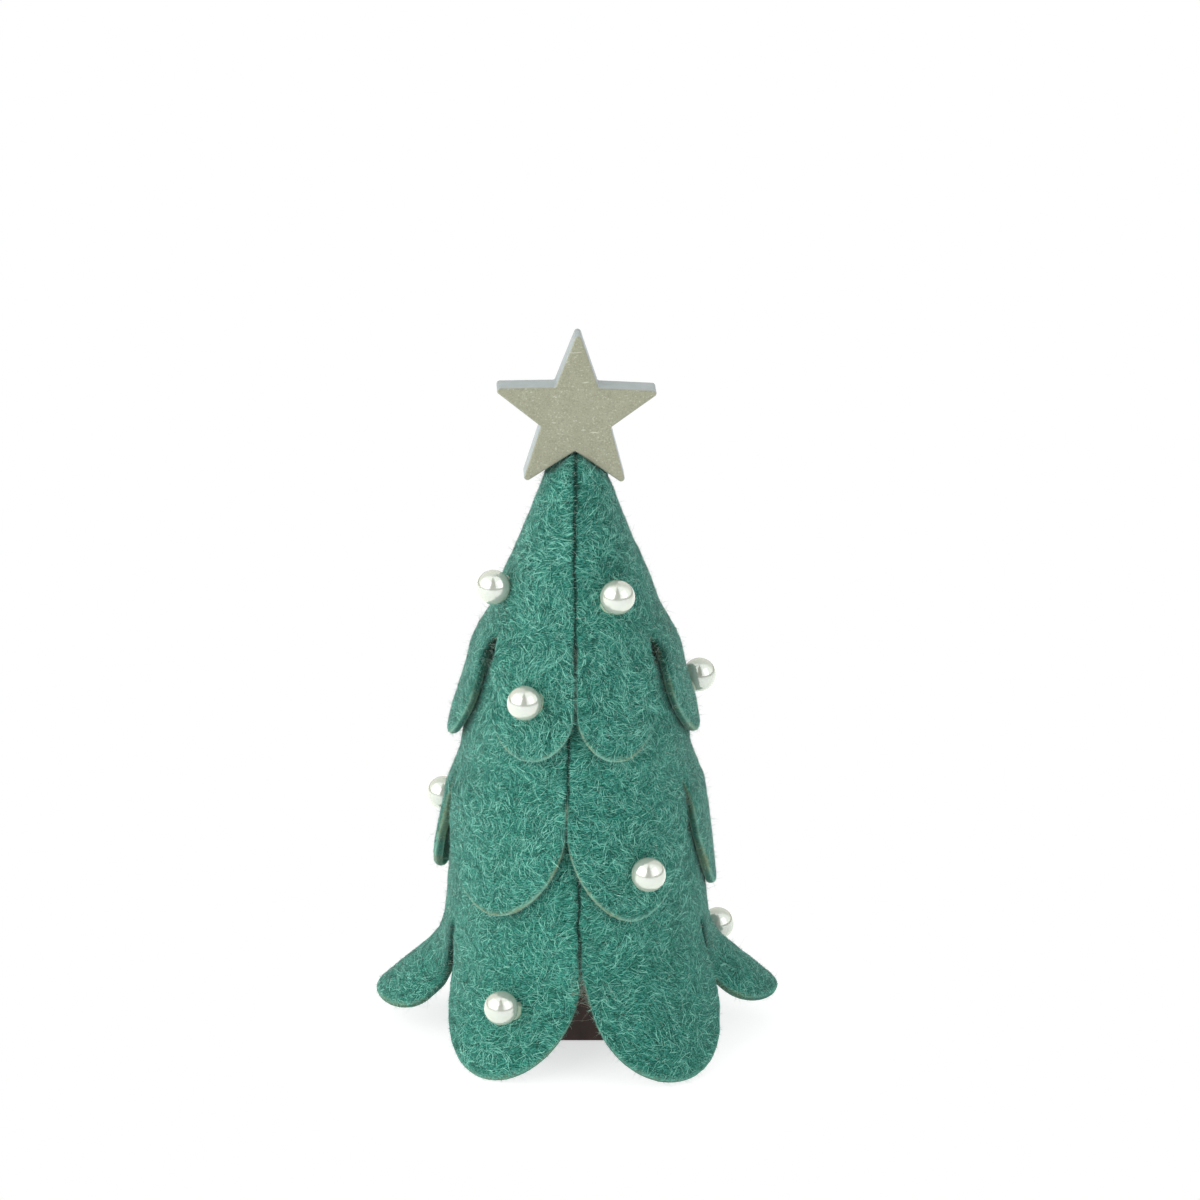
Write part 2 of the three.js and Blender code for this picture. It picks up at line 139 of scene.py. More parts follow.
def lattice(points: Array, seed: int) -> Array:
    """A repeatable value from -1 to 1 for each whole-number lattice point.

    The coordinates are multiplied by large odd numbers, added up and mixed with their own higher
    bits, and the lowest twenty bits give the value.

    Args:
        points: whole-number coordinates, last axis x, y, z.
        seed: changes the pattern.
    Returns:
        One value per point.
    """
    mixed = points.astype(np.int64) @ np.array(LATTICE_FACTORS) + seed * SEED_FACTOR
    mixed = (mixed ^ (mixed >> 13)) * SCRAMBLE_FACTOR
    mixed = mixed ^ (mixed >> 16)
    return (mixed & LOW_BITS) / float(LOW_BITS >> 1) - 1.0


@dataclass(frozen=True)
class Noise:
    """A layer of smooth noise: depth is its greatest value, and grain its cells' size in millimetres."""

    depth: float
    grain: float
    seed: int

    def at(self, points: Array) -> Array:
        """Lattice values blended over the eight corners of each cell.

        Args:
            points: places in millimetres.
        Returns:
            Values from minus the depth to plus the depth, one per point.
        """
        scaled = points / self.grain
        base = np.floor(scaled)
        part = ease(scaled - base)
        total = np.zeros(points.shape[:-1])
        for corner in np.ndindex(2, 2, 2):
            offset = np.array(corner)
            weight = np.prod(np.where(offset == 1, part, 1 - part), axis=-1)
            total += weight * lattice(base + offset, self.seed)
        return self.depth * total


def make_object(
    name: str, points: Array, faces: Array, values: dict[str, Array] | None = None
) -> bpy.types.Object:
    """A smooth mesh object whose own origin is the frame's origin.

    Args:
        name: object name.
        points: vertex places in millimetres, n by 3.
        faces: vertex numbers, m by 4.
        values: named values, one per vertex.
    Returns:
        The linked object.
    """
    mesh = bpy.data.meshes.new(name)
    mesh.vertices.add(len(points))
    mesh.vertices.foreach_set("co", np.ascontiguousarray(points * MM, np.float32).ravel())
    mesh.loops.add(faces.size)
    mesh.loops.foreach_set("vertex_index", np.ascontiguousarray(faces, np.int32).ravel())
    mesh.polygons.add(len(faces))
    starts = np.arange(0, faces.size, faces.shape[1], dtype=np.int32)
    mesh.polygons.foreach_set("loop_start", starts)
    mesh.update(calc_edges=True)
    for key, numbers in (values or {}).items():
        layer = mesh.attributes.new(key, "FLOAT", "POINT")
        layer.data.foreach_set("value", np.ascontiguousarray(numbers, np.float32).ravel())
    mesh.shade_smooth()
    made = bpy.data.objects.new(name, mesh)
    bpy.context.scene.collection.objects.link(made)
    return made


def grid_faces(rows: int, columns: int, closed: bool) -> Array:
    """Four-sided faces of a grid whose points are numbered row by row.

    Args:
        rows: number of point rows.
        columns: number of points in a row.
        closed: whether the last column joins the first.
    Returns:
        Faces, m by 4.
    """
    row = np.arange(rows - 1)[:, None]
    column = np.arange(columns if closed else columns - 1)[None, :]
    after = (column + 1) % columns
    low = row * columns
    high = low + columns
    return np.stack([low + column, low + after, high + after, high + column], -1).reshape(-1, 4)


def ringed_body(rings: list[tuple[Array, float]]) -> tuple[Array, Array]:
    """A closed body of flat rings, whose two ends are drawn in to their middle points.

    Args:
        rings: each ring's points in its plane, n by 2, and its level.
    Returns:
        Points and four-sided faces. The ends' faces repeat the middle point's ring.
    """
    grid = np.stack([np.concatenate([ring, np.full((len(ring), 1), level)], 1) for ring, level in rings])
    first = np.broadcast_to(grid[0].mean(0), grid[0].shape)
    last = np.broadcast_to(grid[-1].mean(0), grid[-1].shape)
    full = np.concatenate([first[None], grid, last[None]])
    rows, columns = full.shape[:2]
    return full.reshape(-1, 3), grid_faces(rows, columns, True)


# Colours and node graphs

MIX = {"data_type": "RGBA", "blend_type": "MIX"}
MULTIPLY = {"data_type": "RGBA", "blend_type": "MULTIPLY"}
WHITE = "ffffff"
BLACK = "000000"


def linear(code: str) -> tuple[float, float, float, float]:
    """A screen colour turned into the linear colour that a shader takes.

    Args:
        code: six hexadecimal digits.
    Returns:
        Red, green, blue and 1.
    """
    parts = [int(code[i : i + 2], 16) / 255 for i in (0, 2, 4)]
    curve = [c / 12.92 if c <= 0.04045 else ((c + 0.055) / 1.055) ** 2.4 for c in parts]
    return (curve[0], curve[1], curve[2], 1.0)


def add_node(
    tree: bpy.types.NodeTree,
    kind: str,
    inputs: dict | None = None,
    stops: dict[float, str] | None = None,
    **settings: object,
) -> bpy.types.Node:
    """Adds a node and fills its inputs with constants or with links from other sockets.

    Args:
        tree: the tree to add to.
        kind: the node's type name without its first part.
        inputs: input name or number to a constant or an output socket.
        stops: a colour ramp's places and screen colours.
        settings: the node's own properties.
    Returns:
        The node.
    """
    node = tree.nodes.new("ShaderNode" + kind)
    for key, value in settings.items():
        setattr(node, key, value)
    for key, value in (inputs or {}).items():
        if isinstance(value, bpy.types.NodeSocket):
            tree.links.new(value, node.inputs[key])
        else:
            node.inputs[key].default_value = value
    if stops:
        elements = node.color_ramp.elements
        while len(elements) < len(stops):
            elements.new(0.5)
        for element, place in zip(elements, sorted(stops)):
            element.position = place
            element.color = linear(stops[place])
    return node


def new_material(name: str) -> tuple[bpy.types.Material, bpy.types.NodeTree]:
    """An empty node material.

    Args:
        name: material name.
    Returns:
        The material and its tree.
    """
    material = bpy.data.materials.new(name)
    material.use_nodes = True
    material.node_tree.nodes.clear()
    return material, material.node_tree


# Finishes. A noise's scale counts cells per metre.


@dataclass(frozen=True)
class FeltFinish:
    """Pressed wool felt: a dull mat of short strands that run every way, over darker pits.

    A wool strand is about 0.03 mm thick, too fine to show, so the mat has strands of 0.22 mm.
    The waves in the strands are 6 mm long and the felt's patches are 8 mm across.
    """

    pit: str = "0a2f27"
    middle: str = "2d8271"
    strand: str = "6fc9b4"
    shaded_patch: str = "dfe8e4"
    worn: str = "929a76"
    # painted highlight: light teal along the rounded hems, where they catch light
    fuzz: str = "9ccfba"
    cut_dark: str = "1a4a3e"
    cut_light: str = "4f5a44"
    # painted shade: the near-black teal the felt darkens to in the seam's groove, beside the slits and
    # under the tier above
    painted_shade: str = "10221b"
    sheen: str = "b8dcd0"
    strand_size: float = 0.00022
    strand_stretch: float = 8.0
    turns: tuple = ((0.3, 0.2, 0.4), (1.1, 0.5, 2.0), (0.2, 1.3, 1.2), (2.2, 0.4, 2.7))
    wave_scale: float = 180.0
    wave_shift: float = 0.0016
    patch_scale: float = 120.0
    worn_and_highlight_share: float = 0.65
    rim_gain: float = 2.0
    cut_share: float = 0.75
    painted_shade_share: float = 0.85
    strand_height: float = 0.00035

    def strands(
        self, tree: bpy.types.NodeTree, place: bpy.types.NodeSocket, turn: tuple
    ) -> bpy.types.NodeSocket:
        """Noise drawn out along one direction, which reads as a layer of lying fibres.

        Args:
            tree: the tree to add to.
            place: object coordinates.
            turn: rotation of the layer.
        Returns:
            The layer's value.
        """
        fine = 1 / self.strand_size
        long = fine / self.strand_stretch
        wave = add_node(tree, "TexNoise", {"Vector": place, "Scale": self.wave_scale, "Detail": 1.0})
        inputs = {0: wave.outputs["Color"], "Scale": self.wave_shift}
        shift = add_node(tree, "VectorMath", inputs, operation="SCALE")
        moved = add_node(tree, "VectorMath", {0: place, 1: shift.outputs[0]}, operation="ADD")
        inputs = {"Vector": moved.outputs[0], "Rotation": turn, "Scale": (long, fine, fine)}
        drawn = add_node(tree, "Mapping", inputs)
        inputs = {"Vector": drawn.outputs[0], "Scale": 1.0, "Detail": 2.0}
        return add_node(tree, "TexNoise", inputs).outputs[0]

    def build(self) -> bpy.types.Material:
        """Builds the felt material, which follows the mesh values "rim", "cut" and "crease".

        Returns:
            The material.
        """
        material, tree = new_material("teal wool felt")
        place = add_node(tree, "TexCoord").outputs["Object"]
        rim = add_node(tree, "Attribute", attribute_name="rim").outputs["Fac"]
        cut = add_node(tree, "Attribute", attribute_name="cut").outputs["Fac"]
        painted_shade = add_node(tree, "Attribute", attribute_name="painted_shade").outputs["Fac"]
        inputs = {"Vector": place, "Scale": self.patch_scale, "Detail": 3.0}
        patch = add_node(tree, "TexNoise", inputs).outputs[0]

        top, *others = [self.strands(tree, place, turn) for turn in self.turns]
        for layer in others:
            top = add_node(tree, "Math", {0: top, 1: layer}, operation="MAXIMUM").outputs[0]
        stops = {0.47: self.pit, 0.6: self.middle, 0.73: self.strand}
        mat = add_node(tree, "ValToRGB", {0: top}, stops).outputs[0]
        tint = add_node(tree, "ValToRGB", {0: patch}, {0.3: self.shaded_patch, 0.7: WHITE}).outputs[0]
        mottled = add_node(tree, "Mix", {0: 1.0, 6: mat, 7: tint}, **MULTIPLY).outputs[2]

        # Along the cut edges the felt is worn olive and lightened by a painted highlight, as rounded hems
        # catch light.
        patchy = add_node(tree, "Math", {0: rim, 1: patch}, operation="MULTIPLY").outputs[0]
        inputs = {0: patchy, 1: self.rim_gain}
        share = add_node(tree, "Math", inputs, operation="MULTIPLY", use_clamp=True).outputs[0]
        edge = add_node(tree, "ValToRGB", {0: patch}, {0.45: self.fuzz, 0.6: self.worn}).outputs[0]
        worn = add_node(tree, "Mix", {0: self.worn_and_highlight_share, 6: mottled, 7: edge}, **MIX).outputs[2]
        rimmed = add_node(tree, "Mix", {0: share, 6: mottled, 7: worn}, **MIX).outputs[2]

        stops = {0.42: self.cut_dark, 0.58: self.cut_light}
        face = add_node(tree, "ValToRGB", {0: patch}, stops).outputs[0]
        faced = add_node(tree, "Mix", {0: self.cut_share, 6: mottled, 7: face}, **MIX).outputs[2]
        edged = add_node(tree, "Mix", {0: cut, 6: rimmed, 7: faced}, **MIX).outputs[2]

        # Painted shade: the felt darkens towards the shade colour in the seam's groove, beside the slits
        # and under the petals of the tier above.
        deep = add_node(tree, "Math", {0: painted_shade, 1: self.painted_shade_share}, operation="MULTIPLY").outputs[0]
        inputs = {0: deep, 6: edged, 7: linear(self.painted_shade)}
        colour = add_node(tree, "Mix", inputs, **MULTIPLY).outputs[2]
        bump = add_node(tree, "Bump", {"Height": top, "Strength": 0.9, "Distance": self.strand_height})
        inputs = {
            "Base Color": colour,
            "Roughness": 0.95,
            "Specular IOR Level": 0.15,
            "Sheen Weight": 0.35,
            "Sheen Roughness": 0.5,
            "Sheen Tint": linear(self.sheen),
            "Normal": bump.outputs[0],
        }
        shader = add_node(tree, "BsdfPrincipled", inputs)
        add_node(tree, "OutputMaterial", {0: shader.outputs[0]})
        return material


@dataclass(frozen=True)
class FibreFinish:
    """Single wool fibres: dull, each with its own shade, held in the mesh value "shade"."""

    kind: Fibre
    dark: str
    middle: str
    light: str

    def build(self) -> bpy.types.Material:
        """Builds the fibre material.

        Returns:
            The material.
        """
        material, tree = new_material(self.kind.value)
        shade = add_node(tree, "Attribute", attribute_name="shade").outputs["Fac"]
        stops = {0.0: self.dark, 0.5: self.middle, 1.0: self.light}
        colour = add_node(tree, "ValToRGB", {0: shade}, stops).outputs[0]
        inputs = {"Base Color": colour, "Roughness": 0.8, "Specular IOR Level": 0.2, "Sheen Weight": 0.2}
        shader = add_node(tree, "BsdfPrincipled", inputs)
        add_node(tree, "OutputMaterial", {0: shader.outputs[0]})
        return material


@dataclass(frozen=True)
class PearlFinish:
    """Pearl lacquer on a plastic bead: a soft mirror over a cream body, with a painted sheen that makes it
    yellower where it turns away.
    """

    body: str = "ced3ca"
    # painted sheen: the colour towards the pearl's edge as seen
    turned: str = "d2d8bd"

    def build(self) -> bpy.types.Material:
        """Builds the pearl material.

        Returns:
            The material.
        """
        material, tree = new_material("pearl lacquer")
        # Painted sheen: the base colour turns yellower towards the edge as seen from the camera.
        sheen_facing = add_node(tree, "LayerWeight", {"Blend": 0.3}).outputs["Facing"]
        inputs = {0: sheen_facing, 6: linear(self.body), 7: linear(self.turned)}
        inputs = {
            "Base Color": add_node(tree, "Mix", inputs, **MIX).outputs[2],
            "Roughness": 0.17,
            "Metallic": 0.4,
            "Coat Weight": 1.0,
            "Coat Roughness": 0.05,
            "Coat IOR": 1.6,
            "Specular IOR Level": 0.5,
        }
        shader = add_node(tree, "BsdfPrincipled", inputs)
        add_node(tree, "OutputMaterial", {0: shader.outputs[0]})
        return material


@dataclass(frozen=True)
class GlueFinish:
    """Set hot glue: cloudy, slightly yellow, half clear, with dents 1 mm across."""

    colour: str = "cfd6b0"
    dent_scale: float = 900.0
    dent_depth: float = 0.0003

    def build(self) -> bpy.types.Material:
        """Builds the glue material.

        Returns:
            The material.
        """
        material, tree = new_material("set clear glue")
        place = add_node(tree, "TexCoord").outputs["Object"]
        noise = add_node(tree, "TexNoise", {"Vector": place, "Scale": self.dent_scale, "Detail": 2.0})
        inputs = {"Height": noise.outputs[0], "Strength": 0.4, "Distance": self.dent_depth}
        inputs = {
            "Base Color": linear(self.colour),
            "Roughness": 0.3,
            "Transmission Weight": 0.2,
            "IOR": 1.45,
            "Subsurface Weight": 0.4,
            "Normal": add_node(tree, "Bump", inputs).outputs[0],
        }
        shader = add_node(tree, "BsdfPrincipled", inputs)
        add_node(tree, "OutputMaterial", {0: shader.outputs[0]})
        return material


# The star's turn about the upright axis.
STAR_TURN = math.radians(2.5)


@dataclass(frozen=True)
class StarPaintFinish:
    """Champagne silver paint on wood: even and satin, with fine pale specks and small scratches.

    The paint's flakes are too fine to show, so the specks are drawn 0.4 mm across. The clouds in
    the paint are 2.4 mm across, and the scratches are 0.4 mm by 2 mm. The sides are painted
    lighter and cooler, as a painted highlight.
    """

    base: str = "9b9c86"
    speck: str = "bebfac"
    pit: str = "8f907c"
    # painted highlight: the lighter, cooler colour of the star's sides
    side: str = "abb4b4"
    cloud: str = "f6f6f4"
    speck_scale: float = 2600.0
    cloud_scale: float = 420.0
    scratch_scale: tuple = (500.0, 500.0, 2600.0)
    scratch_turn: tuple = (0.0, 0.9, 0.0)
    front: tuple = (math.sin(STAR_TURN), -math.cos(STAR_TURN), 0.0)
    speck_height: float = 0.0001

    def build(self) -> bpy.types.Material:
        """Builds the star's paint.

        Returns:
            The material.
        """
        material, tree = new_material("champagne silver paint")
        coordinates = add_node(tree, "TexCoord")
        place = coordinates.outputs["Object"]
        inputs = {"Vector": place, "Scale": self.speck_scale, "Detail": 2.0}
        flake = add_node(tree, "TexNoise", inputs).outputs[0]
        stops = {0.36: self.pit, 0.47: self.base, 0.62: self.base, 0.74: self.speck}
        specked = add_node(tree, "ValToRGB", {0: flake}, stops).outputs[0]
        inputs = {"Vector": place, "Scale": self.cloud_scale, "Detail": 3.0}
        cloud = add_node(tree, "TexNoise", inputs).outputs[0]
        tint = add_node(tree, "ValToRGB", {0: cloud}, {0.35: self.cloud, 0.65: WHITE}).outputs[0]

        inputs = {"Vector": place, "Rotation": self.scratch_turn, "Scale": self.scratch_scale}
        drawn = add_node(tree, "Mapping", inputs).outputs[0]
        inputs = {"Vector": drawn, "Scale": 1.0, "Detail": 0.0}
        scratch = add_node(tree, "TexNoise", inputs).outputs[0]
        scratched = add_node(tree, "ValToRGB", {0: scratch}, {0.79: BLACK, 0.88: WHITE}).outputs[0]

        # Painted highlight: faces turned away from the front take the lighter side colour.
        inputs = {0: coordinates.outputs["Normal"], 1: self.front}
        ahead = add_node(tree, "VectorMath", inputs, operation="DOT_PRODUCT").outputs["Value"]
        faces = add_node(tree, "Math", {0: ahead}, operation="ABSOLUTE").outputs[0]
        plain = add_node(tree, "ValToRGB", {0: faces}, {0.45: self.side, 0.95: self.base}).outputs[0]
        flat = add_node(tree, "ValToRGB", {0: faces}, {0.45: BLACK, 0.95: WHITE}).outputs[0]
        faced = add_node(tree, "Mix", {0: flat, 6: plain, 7: specked}, **MIX).outputs[2]
        painted = add_node(tree, "Mix", {0: 1.0, 6: faced, 7: tint}, **MULTIPLY).outputs[2]
        inputs = {0: scratched, 6: painted, 7: linear(self.speck)}
        worn = add_node(tree, "Mix", inputs, **MIX).outputs[2]
        bump = add_node(tree, "Bump", {"Height": flake, "Strength": 0.25, "Distance": self.speck_height})
        inputs = {
            "Base Color": worn,
            "Metallic": 0.25,
            "Roughness": 0.5,
            "Specular IOR Level": 0.5,
            "Normal": bump.outputs[0],
        }
        shader = add_node(tree, "BsdfPrincipled", inputs)
        add_node(tree, "OutputMaterial", {0: shader.outputs[0]})
        return material


@dataclass(frozen=True)
class WoodFinish:
    """Dull wood, stained or bare, with its grain along Z: streaks 2.4 mm wide and 11 mm long."""

    name: str
    dark: str
    light: str
    roughness: float
    grain_scale: tuple = (420.0, 420.0, 90.0)
    grain_height: float = 0.0002

    def build(self) -> bpy.types.Material:
        """Builds the wood material.

        Returns:
            The material.
        """
        material, tree = new_material(self.name)
        place = add_node(tree, "TexCoord").outputs["Object"]
        long = add_node(tree, "Mapping", {"Vector": place, "Scale": self.grain_scale}).outputs[0]
        grain = add_node(tree, "TexNoise", {"Vector": long, "Scale": 1.0, "Detail": 5.0}).outputs[0]
        colour = add_node(tree, "ValToRGB", {0: grain}, {0.3: self.dark, 0.7: self.light}).outputs[0]
        bump = add_node(tree, "Bump", {"Height": grain, "Strength": 0.3, "Distance": self.grain_height})
        inputs = {"Base Color": colour, "Roughness": self.roughness, "Normal": bump.outputs[0]}
        shader = add_node(tree, "BsdfPrincipled", inputs)
        add_node(tree, "OutputMaterial", {0: shader.outputs[0]})
        return material


# Felt shapes

# Half the millimetre over which a slope is taken.
HALF_STEP = 0.5


@dataclass(frozen=True)
class Core:
    """The turned form under the felt: its radius follows a smooth curve through a table."""

    foot: float = 24.3
    reach: float = 116.7
    foot_radius: float = 28.7
    top_share: float = 0.953
    heights: tuple = (0, 0.177, 0.323, 0.434, 0.546, 0.597, 0.649, 0.692, 0.734, 0.82, 0.906, 1)
    radii: tuple = (1, 0.935, 0.865, 0.82, 0.714, 0.669, 0.62, 0.571, 0.519, 0.369, 0.233, 0.094)

    def height(self, share: float) -> float:
        """Height at a share of the core's reach, which is 0 at the foot and 1 at the table's end."""
        return self.foot + share * self.reach

    def radius(self, height: Array) -> Array:
        """Radius by a cubic through the table, whose slopes are those of the neighbours' chord.

        Args:
            height: heights in millimetres.
        Returns:
            Radii in millimetres.
        """
        x = np.array(self.heights)
        y = np.array(self.radii)
        before = np.maximum(np.arange(len(x)) - 1, 0)
        after = np.minimum(np.arange(len(x)) + 1, len(x) - 1)
        slope = (y[after] - y[before]) / (x[after] - x[before])
        share = np.clip((height - self.foot) / self.reach, 0, 1)
        i = np.clip(np.searchsorted(x, share) - 1, 0, len(x) - 2)
        width = x[i + 1] - x[i]
        t = (share - x[i]) / width
        start = y[i] + t * t * (3 - 2 * t) * (y[i + 1] - y[i])
        lead = t * (1 - t) ** 2 * width * slope[i]
        trail = t * t * (t - 1) * width * slope[i + 1]
        return self.foot_radius * (start + lead + trail)

    def slope_cosine(self, height: Array) -> Array:
        """Cosine of the surface's slope, from the radius's fall over a millimetre, and 1 at the foot."""
        fall = self.radius(height - HALF_STEP) - self.radius(height + HALF_STEP)
        return np.where(height <= self.foot, 1.0, np.cos(np.arctan(fall)))


CORE = Core()
CORE_TOP = CORE.height(CORE.top_share)
FELT_THICKNESS = 2.3
LAYER_GAP = 0.3
SLIT_GAP = 0.5
# Above the lower tier's top edge, a tier settles onto the core over this height.
DRAPE_REACH = 12.0
# The ridge along a closed seam: half its turn, and where and over what height it fades out.
RIDGE_HALF_TURN = math.radians(16)
RIDGE_FADE_START = 6
RIDGE_FADE = 8
# The crown rises by this much to the hole round the star's pin, which has this radius.
CROWN_RISE = 2.1
CROWN_HOLE = 1.7
# The top edges of the two lower tiers.
MIDDLE_EDGE = CORE.height(0.604)
BOTTOM_EDGE = CORE.height(0.301)
# The number of a tier's petals, and of the steps along a petal's middle line.
PETALS = 6
LINE_STEPS = 60


@dataclass(frozen=True)
class Tier:
    """One felt tier: a band wrapped on the core, cut into six tongue petals below its slits.

    Heights, lengths and the saddle's drop are in millimetres. The petals' widths and splays are in
    degrees and go round from the seam with growing azimuth. Straights and bends are shares of a
    petal's length: how much of it has straight sides, and over how much it bends out. Cups add to
    the tube's own bow, and a hem power of 2 gives an oval end. The cut felt fits the rectangle
    flat, whose sides are in metres. Wear and highlight is the share of the full rim on the cut
    edges, worn and lightened by a painted highlight; slit reach is how far the slits' shade reaches
    on the side petals, and wisps counts the loose fibres.
    """

    node: str
    edge: float
    slit: float
    lower_edge: float
    ridge_end: float
    seam_turn: float
    widths: tuple
    splays: tuple
    lengths: tuple
    straights: tuple
    flat: tuple
    cups: tuple = (0,) * PETALS
    bends: tuple = (0.35,) * PETALS
    hem_power: float = 2
    saddle: float = 0
    crown_rows: int = 0
    wear_and_highlight: float = 1.0
    slit_reach: float = 1.9
    wisps: int = 0

    def outer(self, height: Array) -> Array:
        """Outside radius: one layer on the core, two where the tier lies on the next one.

        Args:
            height: heights in millimetres.
        Returns:
            Radii in millimetres.
        """
        off = ease((height - self.lower_edge) / DRAPE_REACH)
        layers = 2 - off if self.lower_edge > 0 else np.ones_like(off)
        return CORE.radius(height) + layers * (FELT_THICKNESS + LAYER_GAP) / CORE.slope_cosine(height)

    def ridge_tilt(self, turn: Array, height: Array) -> Array:
        """Angle past the flat's middle beside the closed seam, which makes a slight ridge.

        Args:
            turn: azimuths in radians.
            height: heights in millimetres.
        Returns:
            Angles in radians, zero away from the seam.
        """
        fade = 1 - ease((height - self.ridge_end + RIDGE_FADE_START) / RIDGE_FADE)
        apart = (turn - math.radians(self.seam_turn) + math.pi) % (2 * math.pi) - math.pi
        return fade * np.maximum(0, RIDGE_HALF_TURN - np.abs(apart))

    def layer_radius(self, turn: Array, height: Array, reach: Array, depth: float) -> Array:
        """Radius of the felt at a depth in its thickness, given the outside radii without the ridge."""
        tilt = np.cos(self.ridge_tilt(turn, height))
        return reach / tilt - depth * FELT_THICKNESS / (tilt * CORE.slope_cosine(height))

    def sides(self, petal: int) -> tuple[float, float]:
        """The azimuths in radians of the petal's two side lines at its slit, the lower one first."""
        start = self.seam_turn + sum(self.widths[:petal])
        return math.radians(start), math.radians(start + self.widths[petal])

    def body_point(self, petal: int, across: Array, height: Array, depth: float) -> Array:
        """Places above the slits: the radius times the azimuth's sine and minus cosine, and the height.

        Args:
            petal: petal number.
            across: -1 to 1 across the petal's share of the band.
            height: heights in millimetres.
            depth: 0 on the outside and 1 on the inside.
        Returns:
            Places in millimetres.
        """
        left, right = self.sides(petal)
        half = (right - left) / 2 - SLIT_GAP / 2 / self.outer(height)
        turn = (left + right) / 2 + across * half
        radius = self.layer_radius(turn, height, self.outer(height), depth)
        return np.stack([radius * np.sin(turn), -radius * np.cos(turn), height + 0 * turn], -1)

    def middle_line(self, petal: int) -> dict[str, Array]:
        """The petal's middle line: it follows the body's slope and bends out near the slit.

        Each step goes out by the sine and down by the cosine of the slope and the lean together.

        Args:
            petal: petal number.
        Returns:
            Arrays along the line: share, flat height, reach, radius, height and lean.
        """
        step = self.lengths[petal] / LINE_STEPS
        share = np.linspace(0, 1, LINE_STEPS + 1)
        lean = math.radians(self.splays[petal]) * ease(share / self.bends[petal])
        flat = np.full(LINE_STEPS + 1, self.slit)
        slope = np.zeros(LINE_STEPS + 1)
        for i in range(LINE_STEPS + 1):
            fall = self.outer(flat[i] - HALF_STEP) - self.outer(flat[i] + HALF_STEP)
            slope[i] = math.atan(float(fall)) if flat[i] > CORE.foot + HALF_STEP else 0.0
            if i < LINE_STEPS:
                flat[i + 1] = flat[i] - step * math.cos(slope[i])
        out = np.concatenate([[0], np.cumsum(step * np.sin(lean + slope))[:-1]])
        down = np.concatenate([[0], np.cumsum(step * np.cos(lean + slope))[:-1]])
        reach = self.outer(np.maximum(flat, CORE.foot))
        return {
            "share": share,
            "flat": flat,
            "reach": reach,
            "radius": reach[0] + out,
            "height": self.slit - down,
            "lean": lean,
        }

    def petal_point(self, petal: int, across: Array, down: Array, depth: float) -> Array:
        """Places below the slits: the tube's own bow, carried along the middle line at its lean.

        The two petals beside the seam keep that side at the seam's own azimuth.

        Args:
            petal: petal number.
            across: -1 to 1 across the petal.
            down: 0 at the slit to 1 at the petal's tip.
            depth: 0 on the outside and 1 on the inside.
        Returns:
            Places in millimetres.
        """
        line = self.middle_line(petal)
        at = {key: np.interp(down, line["share"], values) for key, values in line.items()}
        left, right = self.sides(petal)
        half_width = (right - left) / 2 * line["reach"][0] - SLIT_GAP / 2
        middle = (left + right) / 2 + 0 * at["reach"]
        if petal == 0:
            middle = left + (half_width + SLIT_GAP / 2) / at["reach"]
        if petal == PETALS - 1:
            middle = right - (half_width + SLIT_GAP / 2) / at["reach"]
        swing = across * half_width / at["reach"]
        radius = self.layer_radius(middle + swing, at["flat"], at["reach"], depth)
        side = radius * np.sin(swing)
        cup = 1 + self.cups[petal] * ease(down / self.bends[petal]) ** 2
        rise = radius - at["reach"] + cup * radius * (np.cos(swing) - 1)
        ahead = at["radius"] + rise * np.cos(at["lean"])
        height = at["height"] + rise * np.sin(at["lean"])
        x = ahead * np.sin(middle) + side * np.cos(middle)
        y = -ahead * np.cos(middle) + side * np.sin(middle)
        return np.stack([x, y, height], -1)

    def hem_share(self, petal: int, across: Array) -> Array:
        """How far down the petal's cut edge lies: straight sides and a rounded end.

        Args:
            petal: petal number.
            across: -1 to 1 across the petal.
        Returns:
            Shares of the petal's length.
        """
        straight = self.straights[petal]
        rest = np.maximum(0, 1 - np.abs(across) ** self.hem_power)
        return straight + (1 - straight) * rest ** (1 / self.hem_power)

    def saddle_drop(self, turn: Array) -> Array:
        """How far, in millimetres at the top edge, the star's legs press the crown down."""
        return self.saddle * np.sin(turn - STAR_TURN) ** 2

    def crown_point(self, petal: int, across: Array, share: Array, depth: float) -> Array:
        """Places above the top edge, where the felt draws in to a small hole round the star's pin.

        The radius shrinks evenly to the hole's, and the height rises with one minus its square.

        Args:
            petal: petal number.
            across: -1 to 1 across the petal's share of the band.
            share: 0 at the top edge to 1 at the hole.
            depth: 0 on the outside and 1 on the inside.
        Returns:
            Places in millimetres.
        """
        left, right = self.sides(petal)
        reach = self.outer(np.array(self.edge))
        turn = (left + right) / 2 + across * ((right - left) / 2 - SLIT_GAP / 2 / reach)
        start = self.layer_radius(turn, np.array(self.edge), reach, depth)
        radius = start + (CROWN_HOLE - start) * share
        part = radius / start
        height = self.edge + CROWN_RISE * (1 - part**2) - self.saddle_drop(turn) * part
        height = height - depth * FELT_THICKNESS * share
        return np.stack([radius * np.sin(turn), -radius * np.cos(turn), height], -1)

